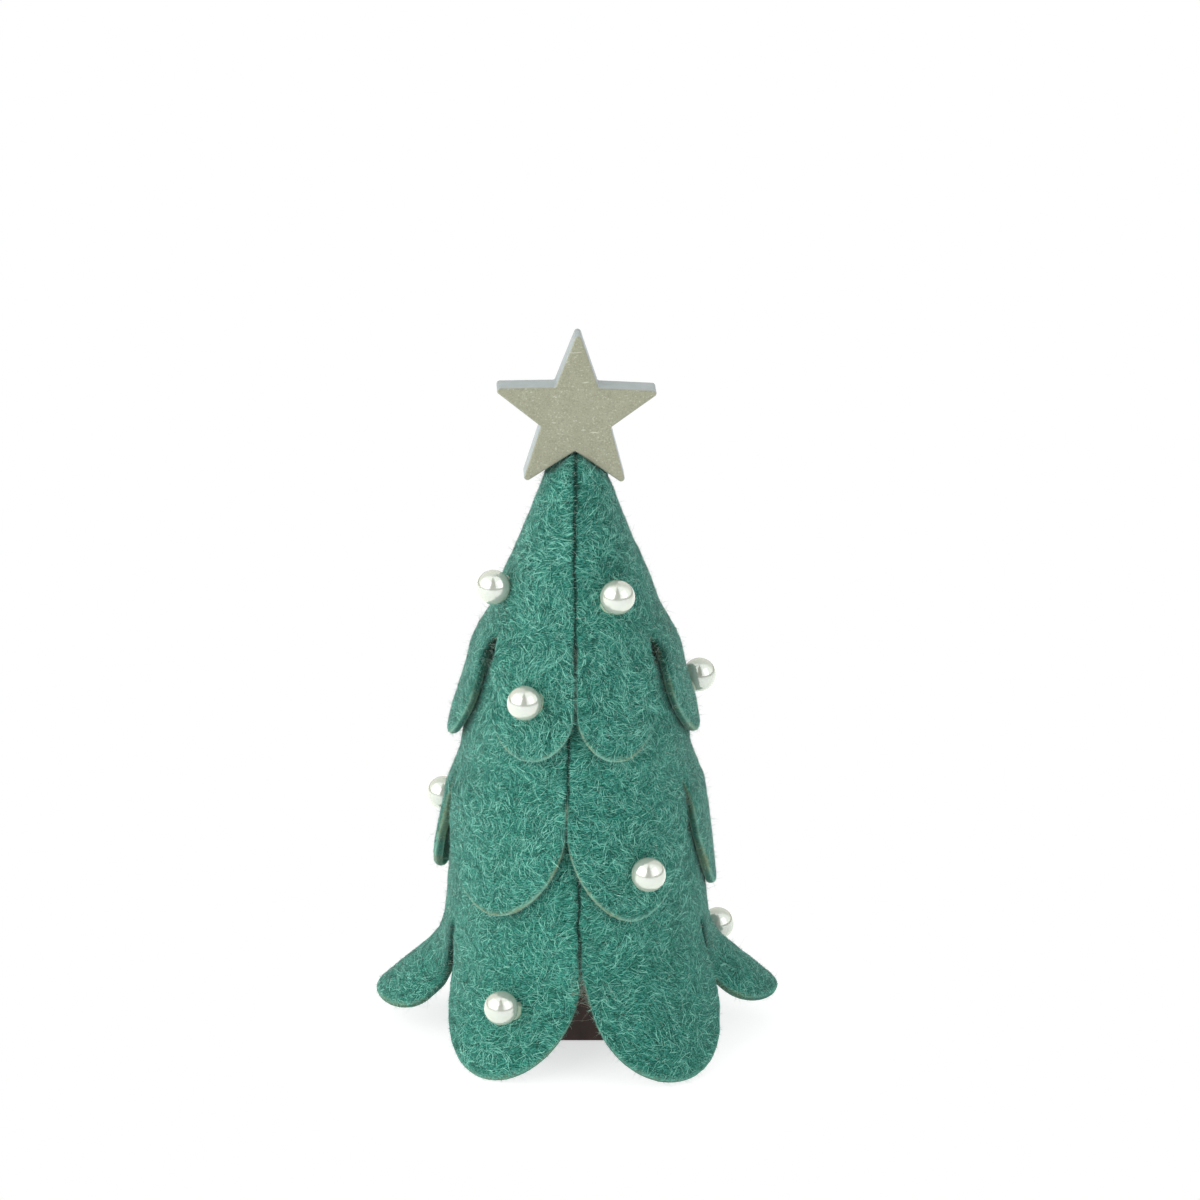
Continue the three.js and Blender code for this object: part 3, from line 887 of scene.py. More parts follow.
    def sheet_grid(
        self, petal: int, across: Array, petal_rows: int, body_rows: int, depth: float
    ) -> Array:
        """The petal, its share of the band and its share of the crown as one grid from the hem up.

        Args:
            petal: petal number.
            across: column places from -1 to 1.
            petal_rows: rows below the slits.
            body_rows: rows above them.
            depth: 0 on the outside and 1 on the inside.
        Returns:
            Places, rows by columns by 3.
        """
        rows = np.linspace(1, 0, petal_rows + 1)[:-1, None]
        low = self.petal_point(petal, across + 0 * rows, rows * self.hem_share(petal, across), depth)
        left, right = self.sides(petal)
        turn = (left + right) / 2 + across * (right - left) / 2
        top = self.edge - self.saddle_drop(turn)
        share = np.linspace(0, 1, body_rows + 1)[:, None]
        height = self.slit + share * (top - self.slit)
        high = self.body_point(petal, across + 0 * height, height, depth)
        crown = np.linspace(0, 1, self.crown_rows + 1)[1:, None]
        return np.concatenate([low, high, self.crown_point(petal, across, crown, depth)])


TIERS = (
    Tier(
        node="felt_tier_top",
        edge=CORE_TOP + 4.9,
        slit=CORE.height(0.662),
        lower_edge=MIDDLE_EDGE,
        ridge_end=CORE.height(1) + DRAPE_REACH,
        seam_turn=0,
        widths=(55, 66, 60, 59, 60, 60),
        splays=(3, 0, 3, 3, 2.5, 3),
        lengths=(26.3, 27.8, 27, 27, 29.2, 26.3),
        straights=(0.54,) * PETALS,
        flat=(0.144, 0.08),
        saddle=3.4,
        crown_rows=12,
    ),
    Tier(
        node="felt_tier_middle",
        edge=MIDDLE_EDGE,
        slit=CORE.height(0.3595),
        lower_edge=BOTTOM_EDGE,
        ridge_end=CORE.height(0.4456),
        seam_turn=-4,
        widths=(67, 54, 54, 54, 55, 76),
        splays=(2, 0, 3, 3, 4, 2),
        lengths=(28.3, 31, 29, 29, 31, 28.3),
        straights=(0.22,) * PETALS,
        flat=(0.204, 0.06),
        hem_power=1.8,
    ),
    Tier(
        node="felt_tier_bottom",
        edge=BOTTOM_EDGE,
        slit=CORE.height(0.0566),
        lower_edge=0,
        ridge_end=CORE.height(0.1243),
        seam_turn=1.5,
        widths=(70, 44, 64, 57, 55, 70),
        splays=(26.5, 49, 29, 26, 46.8, 20),
        lengths=(32.4, 29.5, 31.8, 31.8, 30.6, 31.6),
        straights=(0.36, 0.6, 0.45, 0.2, 0.6, 0.25),
        flat=(0.200, 0.060),
        cups=(-0.15, 1.4, 0, 0, 0.9, 0.3),
        bends=(0.2, 0.5, 0.3, 0.3, 0.5, 0.3),
        wear_and_highlight=0.4,
        slit_reach=3.0,
        wisps=22,
    ),
)


@dataclass
class FeltSheet:
    """A felt tier as a fine closed sheet with rounded cut edges, worn and lightened by a painted highlight.

    Depths, widths and reaches are in millimetres. A pair holds the most and the least, or where a
    change starts and over what length it goes. The side petals are those next to the two front ones.
    """

    tier: Tier
    cover: "FeltSheet | None" = None
    columns: int = 41
    petal_rows: int = 44
    body_rows: int = 36
    edge_rows: int = 6
    waves: tuple[Noise, ...] = (Noise(0.16, 9.0, 3), Noise(0.1, 2.6, 5), Noise(0.12, 1.3, 9))
    inside_wave_share: float = 0.6
    seam_depth: float = 0.6
    seam_depth_noise: Noise = Noise(0.3, 1.3, 31)
    seam_width: float = 0.5
    edge_depth: float = 0.5
    edge_width: float = 0.55
    edge_bulge: float = 0.3
    edge_fray: Noise = Noise(0.06, 0.7, 21)
    hem_rim_width: float = 0.85
    side_rim_width: float = 0.75
    side_rim: tuple[float, float] = (0.6, 0.1)
    side_rim_fade: tuple[float, float] = (3, 6)
    # painted shade along the seam's groove: its width, how it opens towards the top, and its unevenness
    seam_shade_width: float = 0.34
    seam_shade_opening: float = 0.3
    seam_shade_opening_rise: tuple[float, float] = (105, 30)
    seam_shade_noise: Noise = Noise(0.45, 0.9, 37)
    seam_wander: tuple[Noise, ...] = (Noise(0.3, 4.2, 51), Noise(0.16, 1.4, 53))
    seam_wander_width: float = 1.8
    seam_pull: float = 0.18
    seam_pull_noise: Noise = Noise(0.08, 1.0, 57)
    seam_pull_width: float = 0.9
    seam_rise: float = 4
    shade_depth: float = 0.9
    shade_fade: tuple[float, float] = (5, 8)
    shade_end_fade: float = 3
    front_shade_reach: float = 0.5
    side_petals: tuple[int, int] = (1, -2)
    cover_shade: float = 0.75
    cover_reach: float = 1.3
    uncut_jump: float = 5
    no_seam: float = 50.0
    seam_mouth: float = 1.5
    seam_mouth_fade: tuple[float, float] = (4, 6)
    room_past_edge: float = 0.12
    room_past_seam: float = 0.2
    seam_room_share: float = 0.9
    outside: Array = field(init=False)
    inside: Array = field(init=False)
    normals: Array = field(init=False)
    cells: Array = field(init=False)
    rim: Array = field(init=False)
    painted_shade: Array = field(init=False)
    margin: Array = field(init=False)

    def __post_init__(self) -> None:
        """Works out the grids, the faces and how far each point is from the cut edges and the seam."""
        out, back = self.grid(0.0), self.grid(1.0)
        normals = unit(out - back)
        wave = sum(layer.at(out) for layer in self.waves)
        up, across, seam = self.distances(out)
        groove = bell(seam, self.seam_width) * (self.seam_depth + self.seam_depth_noise.at(out))
        groove = groove + self.edge_depth * bell(np.minimum(up, across), self.edge_width)
        drift = self.seam_drift(out, seam)
        out = out + (wave - groove)[..., None] * normals + drift
        back = back + self.inside_wave_share * wave[..., None] * normals + drift
        self.outside = out.reshape(-1, 3)
        self.inside = back.reshape(-1, 3)
        self.normals = normals.reshape(-1, 3)
        self.cells = self.make_cells()
        self.rim = self.edge_wear_and_highlight(up, across).reshape(-1)
        # Painted shade from the seam's groove, the slits' shade and the shade under the tier above, one
        # share per point.
        painted_shade = np.maximum(self.seam_shade(out, seam), self.slit_shade(up, across))
        self.painted_shade = np.maximum(painted_shade.reshape(-1), self.covered())
        self.margin = self.room(up, across, seam).reshape(-1)

    def grid(self, depth: float) -> Array:
        """All petals' places at a depth, with the columns closer together near the cut sides.

        Args:
            depth: 0 on the outside and 1 on the inside.
        Returns:
            Places, petals by rows by columns by 3.
        """
        across = np.sin(np.linspace(-math.pi / 2, math.pi / 2, self.columns))
        rows = (self.petal_rows, self.body_rows)
        return np.stack([self.tier.sheet_grid(petal, across, *rows, depth) for petal in range(PETALS)])

    def row_count(self) -> int:
        """Number of point rows from the hem to the top edge or the crown's hole."""
        return self.petal_rows + self.body_rows + self.tier.crown_rows + 1

    def make_cells(self) -> Array:
        """Faces of the outside: petals stay apart below the slits and join above them.

        Returns:
            Faces, m by 4, whose corners run against the clock seen from outside.
        """
        rows = self.row_count()
        block = rows * self.columns
        one = grid_faces(rows, self.columns, False)
        cells = [one + k * block for k in range(PETALS)]
        row = np.arange(self.petal_rows, rows - 1)
        for k in range(PETALS - 1):
            left = k * block + row * self.columns + self.columns - 1
            right = (k + 1) * block + row * self.columns
            cells.append(np.stack([left, right, right + self.columns, left + self.columns], -1))
        return np.concatenate(cells)

    def distances(self, grid: Array) -> tuple[Array, Array, Array]:
        """Distances along the felt from the petals' ends and sides and from the seam.

        Above the slits, where no side is cut, the distance from the sides grows by a jump. Near the
        hem the seam is open, so the distance from it grows there too.

        Args:
            grid: outside places, petals by rows by columns by 3.
        Returns:
            Three arrays in millimetres, petals by rows by columns.
        """
        start, reach = self.seam_mouth_fade
        steps = np.linalg.norm(np.diff(grid, axis=1), axis=-1)
        up = np.concatenate([np.zeros_like(steps[:, :1]), np.cumsum(steps, 1)], 1)
        sideways = np.linalg.norm(np.diff(grid, axis=2), axis=-1)
        from_left = np.concatenate([np.zeros_like(sideways[:, :, :1]), np.cumsum(sideways, 2)], 2)
        from_right = from_left[:, :, -1:] - from_left
        across = np.minimum(from_left, from_right)
        across[:, self.petal_rows + 1 :] += self.uncut_jump
        seam = np.full_like(across, self.no_seam)
        apart = self.seam_mouth * (1 - ease((up - start) / reach))
        seam[0] = from_left[0] + apart[0]
        seam[-1] = from_right[-1] + apart[-1]
        return up, across, seam

    def edge_wear_and_highlight(self, up: Array, across: Array) -> Array:
        """How worn the felt is, and how much a painted highlight lightens it, along the petals' ends and,
        less further up, along their sides.

        Args:
            up: distances from the hem.
            across: distances from the petal's sides.
        Returns:
            Shares from 0 to 1.
        """
        most, least = self.side_rim
        start, reach = self.side_rim_fade
        side = most - (most - least) * ease((up - start) / reach)
        side = side * bell(across, self.side_rim_width)
        return self.tier.wear_and_highlight * np.maximum(bell(up, self.hem_rim_width), side)

    def seam_shade(self, grid: Array, seam: Array) -> Array:
        """How deep the painted shade lies in the seam's groove, a dark line which opens towards the top.

        Args:
            grid: outside places, petals by rows by columns by 3.
            seam: distances from the seam.
        Returns:
            Shares from 0 to 1.
        """
        start, reach = self.seam_shade_opening_rise
        width = self.seam_shade_width + self.seam_shade_opening * ease((grid[..., 2] - start) / reach)
        return bell(seam, width * (1 + self.seam_shade_noise.at(grid)))

    def slit_shade(self, up: Array, across: Array) -> Array:
        """How deep the petals' sides lie in the shade of the slits.

        It is deepest where a side petal leans out from behind a front petal, and fades towards the
        slit's end and the hem.

        Args:
            up: distances from the hem.
            across: distances from the petal's sides.
        Returns:
            Shares from 0 to 1.
        """
        start, fade_reach = self.shade_fade
        reach = np.full((PETALS, 1, 1), self.front_shade_reach)
        reach[list(self.side_petals)] = self.tier.slit_reach
        to_end = up[:, self.petal_rows, None] - up
        fade = ease((up - start) / fade_reach)
        return self.shade_depth * bell(across, reach) * fade * ease(to_end / self.shade_end_fade)

    def seam_drift(self, grid: Array, seam: Array) -> Array:
        """Draws the seam's two edges together and lets their line wander a little.

        Args:
            grid: outside places, petals by rows by columns by 3.
            seam: distances from the seam.
        Returns:
            Shifts in millimetres, zero at the slit and away from the seam.
        """
        level = np.zeros_like(grid)
        level[..., 2] = grid[..., 2]
        wander = sum(layer.at(level) for layer in self.seam_wander)
        side = np.zeros_like(seam)
        side[0], side[-1] = -1, 1
        pull = self.seam_pull + self.seam_pull_noise.at(grid)
        fade = ease((grid[..., 2] - self.tier.slit) / self.seam_rise)
        wander = wander * bell(seam, self.seam_wander_width)
        shift = fade * (wander + side * pull * bell(seam, self.seam_pull_width))
        flat = np.stack([-grid[..., 1], grid[..., 0], 0 * seam], -1)
        return shift[..., None] * unit(flat)

    def covered(self) -> Array:
        """How deep each outside point lies in the shade under the petals of the tier above.

        Returns:
            Shares from 0 to 1, one per outside point.
        """
        if self.cover is None:
            return np.zeros(len(self.outside))
        hems = self.cover.inside[np.unique(self.cover.boundary())]
        nearest = np.array([np.min(np.sum((hems - place) ** 2, 1)) for place in self.outside])
        return self.cover_shade * np.exp(-nearest / self.cover_reach**2)

    def room(self, up: Array, across: Array, seam: Array) -> Array:
        """A lying fibre's room to the nearest cut edge and the seam, from the distances to them."""
        to_edge = np.minimum(up, across) + self.room_past_edge
        return np.minimum(to_edge, self.seam_room_share * seam + self.room_past_seam)

    def area(self) -> float:
        """Area of the cut felt, between its outside and its inside.

        Returns:
            Square metres.
        """
        corners = ((self.outside + self.inside) / 2)[self.cells]
        cross = np.cross(corners[:, 2] - corners[:, 0], corners[:, 3] - corners[:, 1])
        return float(np.linalg.norm(cross, axis=-1).sum() / 2) * MM * MM

    def petal_sides(self) -> Array:
        """The cut edges beside the front opening, from near the hem to two thirds of the way up.

        Returns:
            Places in millimetres, n by 3.
        """
        grid = self.outside.reshape(PETALS, self.row_count(), self.columns, 3)
        part = slice(self.petal_rows // 8, self.petal_rows * 2 // 3)
        return np.concatenate([grid[0, part, 0], grid[-1, part, -1]])

    def boundary(self) -> Array:
        """Directed edges of the outside that have no neighbouring face.

        Returns:
            Edges, m by 2.
        """
        edges = np.concatenate([self.cells[:, [i, (i + 1) % 4]] for i in range(4)])
        count = len(self.outside)
        forward = edges[:, 0] * count + edges[:, 1]
        backward = edges[:, 1] * count + edges[:, 0]
        return edges[~np.isin(forward, backward)]

    def edge_directions(self, edges: Array) -> Array:
        """At each cut-edge point, the direction away from the sheet along its surface.

        Args:
            edges: directed cut edges.
        Returns:
            One direction per outside point, zero away from the edges.
        """
        along = unit(self.outside[edges[:, 1]] - self.outside[edges[:, 0]])
        away = np.cross(along, self.normals[edges[:, 0]])
        total = np.zeros_like(self.outside)
        np.add.at(total, edges[:, 0], away)
        np.add.at(total, edges[:, 1], away)
        return unit(total)

    def build(self) -> bpy.types.Object:
        """Builds the sheet as one closed mesh: outside, inside and a bulged strip on each cut edge.

        Returns:
            The object.
        """
        edges = self.boundary()
        away = self.edge_directions(edges)
        ring, number = np.unique(edges, return_inverse=True)
        number = number.reshape(edges.shape)
        count = len(self.outside)
        share = np.linspace(0, 1, self.edge_rows + 1)[1:-1, None, None]
        arch = np.sin(math.pi * share)
        strip = self.outside[ring] * (1 - share) + self.inside[ring] * share
        strip = strip + away[ring] * (self.edge_bulge * arch + self.edge_fray.at(strip)[..., None])
        between = [2 * count + i * len(ring) + np.arange(len(ring)) for i in range(len(strip))]
        levels = [ring, *between, ring + count]
        start, end = number[:, 0], number[:, 1]
        walls = []
        for upper, lower in zip(levels[:-1], levels[1:]):
            walls.append(np.stack([upper[end], upper[start], lower[start], lower[end]], -1))
        back = self.cells[:, ::-1] + count
        faces = np.concatenate([self.cells, back, *walls])
        points = np.concatenate([self.outside, self.inside, strip.reshape(-1, 3)])
        cut = np.repeat(arch.reshape(-1) ** 0.5, len(ring))
        values = {
            "rim": np.concatenate([self.rim, self.rim, np.tile(self.rim[ring], len(strip))]),
            "cut": np.concatenate([np.zeros(2 * count), cut]),
            "painted_shade": np.concatenate([self.painted_shade, self.painted_shade, np.tile(self.painted_shade[ring], len(strip))]),
        }
        return make_object(self.tier.node + "_sheet", points, faces, values)


# Fibres


@dataclass(frozen=True)
class Strands:
    """Curves with their shades: points are fibres by steps by 3, widths and shades by fibre."""

    points: Array
    widths: Array
    shades: Array
    ribbon_end: float = 0.25
    tube_sides: int = 3
    tube_tip: float = 0.25
    spare_direction: tuple = (0.31, 0.57, 0.76)

    def ribbons(self, name: str, normals: Array) -> bpy.types.Object:
        """Flat strips that face away from the felt, narrowed at their ends by a sine.

        Args:
            name: object name.
            normals: one normal per fibre.
        Returns:
            The object.
        """
        fibres, steps = self.points.shape[:2]
        along = unit(np.gradient(self.points, axis=1))
        side = unit(np.cross(along, normals[:, None]))
        taper = np.sin(np.linspace(self.ribbon_end, math.pi - self.ribbon_end, steps))[None, :, None]
        half = side * taper * self.widths[:, None, None] / 2
        both = np.stack([self.points - half, self.points + half], 2).reshape(-1, 3)
        start = np.arange(fibres)[:, None] * steps * 2 + np.arange(steps - 1)[None, :] * 2
        faces = np.stack([start, start + 1, start + 3, start + 2], -1).reshape(-1, 4)
        return make_object(name, both, faces, {"shade": np.repeat(self.shades, steps * 2)})

    def tubes(self, name: str) -> bpy.types.Object:
        """Three-sided tubes that narrow evenly towards their tips.

        Their rings are spread from the cross product of the run and a spare direction.

        Args:
            name: object name.
        Returns:
            The object.
        """
        sides = self.tube_sides
        fibres, steps = self.points.shape[:2]
        along = unit(np.gradient(self.points, axis=1))
        side = unit(np.cross(along, np.broadcast_to(np.array(self.spare_direction), along.shape)))
        other = np.cross(along, side)
        turn = np.arange(sides) * 2 * math.pi / sides
        ring = side[:, :, None] * np.cos(turn)[:, None] + other[:, :, None] * np.sin(turn)[:, None]
        taper = np.linspace(1, self.tube_tip, steps)[None, :, None, None]
        tube = self.points[:, :, None] + ring * taper * self.widths[:, None, None, None] / 2
        one = grid_faces(steps, sides, True)
        faces = (np.arange(fibres)[:, None, None] * steps * sides + one).reshape(-1, 4)
        shade = np.repeat(self.shades, steps * sides)
        return make_object(name, tube.reshape(-1, 3), faces, {"shade": shade})


@dataclass
class FibreCoat:
    """Wool fibres on a felt sheet: lying strips, short hairs and, on one tier, loose wisps.

    A wool fibre is about 0.03 mm thick, too fine to show, so they are made up to 0.125 mm wide.
    Lengths are in millimetres. A pair holds the least and the most, the middle and the spread, or
    a gamma curve's shape and scale.
    """

    sheet: FeltSheet
    seed: int
    lying: int = 32000
    lying_steps: int = 4
    lying_swirl: float = 4.5
    lying_swirl_grain: float = 11.0
    lying_turn: float = 0.62
    lying_length: tuple[float, float] = (4.0, 0.5)
    lying_least: float = 0.7
    lying_room_share: float = 2.2
    lying_bend: float = 0.35
    lying_rise: tuple[float, float] = (0.02, 0.24)
    lying_sink: float = 0.02
    felt_curve_radius: float = 30
    lying_width: tuple[float, float] = (0.05, 0.125)
    pale_share: float = 0.5
    pale: tuple[float, float] = (0.5, 1.0)
    dark: tuple[float, float] = (0.0, 0.4)
    # painted shade: how much the shade under a lying fibre darkens it
    painted_shade_dim: float = 0.85
    hairs: int = 8000
    hair_steps: int = 5
    hair_depth: tuple[float, float] = (-0.1, 1.05)
    hair_lean: float = 0.6
    hair_stray: float = 0.45
    hair_length: tuple[float, float] = (2.5, 0.28)
    hair_least: float = 0.2
    hair_curl: float = 0.5
    hair_width: tuple[float, float] = (0.035, 0.085)
    hair_shade: tuple[float, float] = (0.6, 0.22)
    wisp_steps: int = 12
    wisp_scatter: float = 0.15
    wisp_length: tuple[float, float] = (3.0, 9.0)
    wisp_aim: tuple[float, float] = (-0.6, -0.9)
    wisp_stray: float = 0.8
    wisp_curl: float = 0.45
    wisp_waves: tuple[float, float] = (2.0, 5.0)
    wisp_stretch: float = 0.8
    wisp_width: tuple[float, float] = (0.035, 0.065)
    wisp_shade: tuple[float, float] = (0.4, 1.0)
    above_floor: float = 0.05

    def surface_seeds(self, rng: np.random.Generator, count: int) -> tuple[Array, ...]:
        """Random places on the outside, spread evenly by area.

        Args:
            rng: random numbers.
            count: number of places.
        Returns:
            Places, normals, one tangent each, the room to the nearest cut and the shade there.
        """
        corners = self.sheet.outside[self.sheet.cells]
        diagonal = np.cross(corners[:, 2] - corners[:, 0], corners[:, 3] - corners[:, 1])
        area = np.linalg.norm(diagonal, axis=-1)
        cell = rng.choice(len(area), count, p=area / area.sum())
        u, v = rng.random((2, count, 1))
        c = corners[cell]
        place = (c[:, 0] * (1 - u) + c[:, 1] * u) * (1 - v) + (c[:, 3] * (1 - u) + c[:, 2] * u) * v
        margin = self.sheet.margin[self.sheet.cells[cell]].min(1)
        shade = self.sheet.painted_shade[self.sheet.cells[cell]].mean(1)
        return place, unit(diagonal[cell]), unit(c[:, 1] - c[:, 0]), margin, shade

    def lay(self, rng: np.random.Generator) -> bpy.types.Object:
        """Curved strips that lie on the felt and rise a little in the middle.

        Their heading follows a slowly changing field, so that neighbours lie alike. They sink with
        the square of their run, as the felt curves away under them.

        Args:
            rng: random numbers.
        Returns:
            The object.
        """
        place, normal, tangent, margin, dark = self.surface_seeds(rng, self.lying)
        share = np.linspace(-0.5, 0.5, self.lying_steps)[None, :]
        swirl = Noise(self.lying_swirl, self.lying_swirl_grain, self.seed).at(place)[:, None]
        turn = swirl + rng.normal(0, self.lying_turn, (self.lying, 1))
        length = rng.gamma(*self.lying_length, (self.lying, 1)) + self.lying_least
        length = np.minimum(length, self.lying_room_share * margin[:, None])
        heading = turn + rng.normal(0, self.lying_bend, (self.lying, 1)) * share
        ahead = unit(tangent)[:, None]
        aside = np.cross(normal, tangent)[:, None]
        run = length * share
        x = run * np.cos(heading)
        y = run * np.sin(heading)
        rise = rng.uniform(*self.lying_rise, (self.lying, 1)) * (1 - (2 * share) ** 2) - self.lying_sink
        rise = rise - (x * x + y * y) / (2 * self.felt_curve_radius)
        points = place[:, None] + ahead * x[..., None] + aside * y[..., None]
        points = points + normal[:, None] * rise[..., None]
        widths = rng.uniform(*self.lying_width, self.lying)
        pale = rng.random(self.lying) < self.pale_share
        shades = np.where(pale, rng.uniform(*self.pale, self.lying), rng.uniform(*self.dark, self.lying))
        # Painted shade: fibres in the seam's groove, beside the slits or under the tier above are darkened.
        shades = shades * (1 - self.painted_shade_dim * dark)
        return Strands(points, widths, shades).ribbons(self.sheet.tier.node + "_fibres", normal)

    def fringe(self, rng: np.random.Generator) -> bpy.types.Object:
        """Short hairs, half of them on the cut edges and half on the outside.

        Each one leaves along its own direction and curls aside with the square of its run.

        Args:
            rng: random numbers.
        Returns:
            The object.
        """
        edges = self.sheet.boundary()
        away = self.sheet.edge_directions(edges)
        picked = rng.choice(edges[:, 0], self.hairs // 2)
        depth = rng.uniform(*self.hair_depth, (len(picked), 1))
        edge_place = self.sheet.outside[picked] * (1 - depth) + self.sheet.inside[picked] * depth
        place, normal = self.surface_seeds(rng, self.hairs - len(picked))[:2]
        start = np.concatenate([edge_place, place])
        lead = np.concatenate([away[picked], normal + rng.normal(0, self.hair_lean, normal.shape)])
        lead = unit(lead + rng.normal(0, self.hair_stray, lead.shape))
        swing = unit(np.cross(lead, rng.normal(0, 1, lead.shape)))
        share = np.linspace(0, 1, self.hair_steps)[None, :, None]
        length = (rng.gamma(*self.hair_length, len(start)) + self.hair_least)[:, None, None]
        curl = rng.normal(0, self.hair_curl, len(start))[:, None, None]
        points = start[:, None] + length * (lead[:, None] * share + swing[:, None] * curl * share**2)
        points[..., 2] = np.maximum(points[..., 2], self.above_floor)
        widths = rng.uniform(*self.hair_width, len(start))
        shades = np.clip(rng.normal(*self.hair_shade, len(start)), 0, 1)
        return Strands(points, widths, shades).tubes(self.sheet.tier.node + "_hairs")

    def loose(self, rng: np.random.Generator) -> bpy.types.Object:
        """Long curly fibres that hang loose from the cut edges of the front opening.

        Each one goes inward, forward and down along its own direction and waves aside by a sine.

        Args:
            rng: random numbers.
        Returns:
            The object.
        """
        places = self.sheet.petal_sides()
        count = self.sheet.tier.wisps
        picked = rng.choice(len(places), count)
        start = places[picked] + rng.normal(0, self.wisp_scatter, (count, 3))
        share = np.linspace(0, 1, self.wisp_steps)[None, :, None]
        length = rng.uniform(*self.wisp_length, count)[:, None, None]
        inward = -np.sign(start[:, 0] - start[:, 0].mean())
        forward, down = self.wisp_aim
        aim = np.stack([inward, np.full(count, forward), np.full(count, down)], -1)
        aim = unit(aim + rng.normal(0, self.wisp_stray, aim.shape))
        bow = unit(np.cross(aim, rng.normal(0, 1, aim.shape)))
        curl = rng.normal(0, self.wisp_curl, count)[:, None, None]
        wave = np.sin(share * rng.uniform(*self.wisp_waves, count)[:, None, None]) * curl
        points = start[:, None] + length * (aim[:, None] * share * self.wisp_stretch + bow[:, None] * wave)
        points[..., 2] = np.maximum(points[..., 2], self.above_floor)
        widths = rng.uniform(*self.wisp_width, count)
        shades = rng.uniform(*self.wisp_shade, count)
        return Strands(points, widths, shades).tubes(self.sheet.tier.node + "_loose_fibres")


# Pearls and glue

# How far a pearl's middle stands off the felt.
STANDOFF = 3.2


@dataclass(frozen=True)
class Seat:
    """Where a pearl sits on a tier: on a petal, or above the slits when petal is None.

    On a petal, across goes from -1 to 1 and down from 0 at the slit to 1 at the tip. Above the
    slits, across is an azimuth in degrees and down is minus the share of the way to the top edge.
    The glue's turn is in degrees round the pearl, and its distance from the middle and the
    pearl's standoff are in millimetres.
    """

    tier: int
    petal: int | None
    across: float
    down: float
    glue_turn: float
    glue_aside: float = 2.1
    standoff: float = STANDOFF

    def place(self, step_across: float, step_down: float) -> Array:
        """A place on the felt's outside close to the seat.

        Args:
            step_across: step across, as a share or in radians.
            step_down: step down, as a share.
        Returns:
            The place in millimetres.
        """
        tier = TIERS[self.tier]
        down = np.array(self.down + step_down)
        if self.petal is not None:
            return tier.petal_point(self.petal, np.array(self.across + step_across), down, 0.0)
        turn = np.radians(self.across) + step_across
        height = tier.slit - down * (tier.edge - tier.slit)
        radius = tier.layer_radius(turn, height, tier.outer(height), 0.0)
        return np.array([radius * math.sin(turn), -radius * math.cos(turn), float(height)])

    def axes(self) -> tuple[Array, Array, Array, Array]:
        """The seat's own axes.

        Returns:
            The place, the direction across, the direction up the felt and the normal.
        """
        step = 0.01
        right = unit(self.place(step, 0) - self.place(-step, 0))
        down = unit(self.place(0, step) - self.place(0, -step))
        normal = unit(np.cross(down, right))
        return self.place(0, 0), right, np.cross(normal, right), normal


SEATS = (
    Seat(0, None, -67.4, -0.236, 150),
    Seat(0, None, 28.3, -0.262, 250),
    Seat(0, None, 155, -0.28, 20),
    Seat(0, 5, 0.06, 0.48, 0, glue_aside=1.9),
    Seat(0, 1, 0.8, 0.7, 230),
    Seat(0, 3, 0.0, 0.5, 180),
    Seat(1, 4, -0.38, 0.51, 60),
    Seat(1, 0, 0.08, 0.59, 300),
    Seat(1, 2, 0.1, 0.5, 120, glue_aside=2.9),
    Seat(2, 5, 0.17, 0.45, 350, glue_aside=2.3),
    Seat(2, 2, -0.8, 0.62, 200, glue_aside=2.9, standoff=4.6),
    Seat(2, 3, 0.1, 0.44, 30),
)


def ball(rings: int, columns: int) -> tuple[Array, Array]:
    """A unit ball: x = sin a cos b, y = sin a sin b, z = cos a.

    Args:
        rings: steps of a from pole to pole.
        columns: steps of b round the axis.
    Returns:
        Points, rings plus 1 by columns by 3, and faces.
    """
    a = np.linspace(math.pi, 0, rings + 1)[:, None]
    b = np.linspace(0, 2 * math.pi, columns, endpoint=False)[None, :]
    points = np.stack([np.sin(a) * np.cos(b), np.sin(a) * np.sin(b), np.cos(a) + 0 * b], -1)
    return points, grid_faces(rings + 1, columns, True)


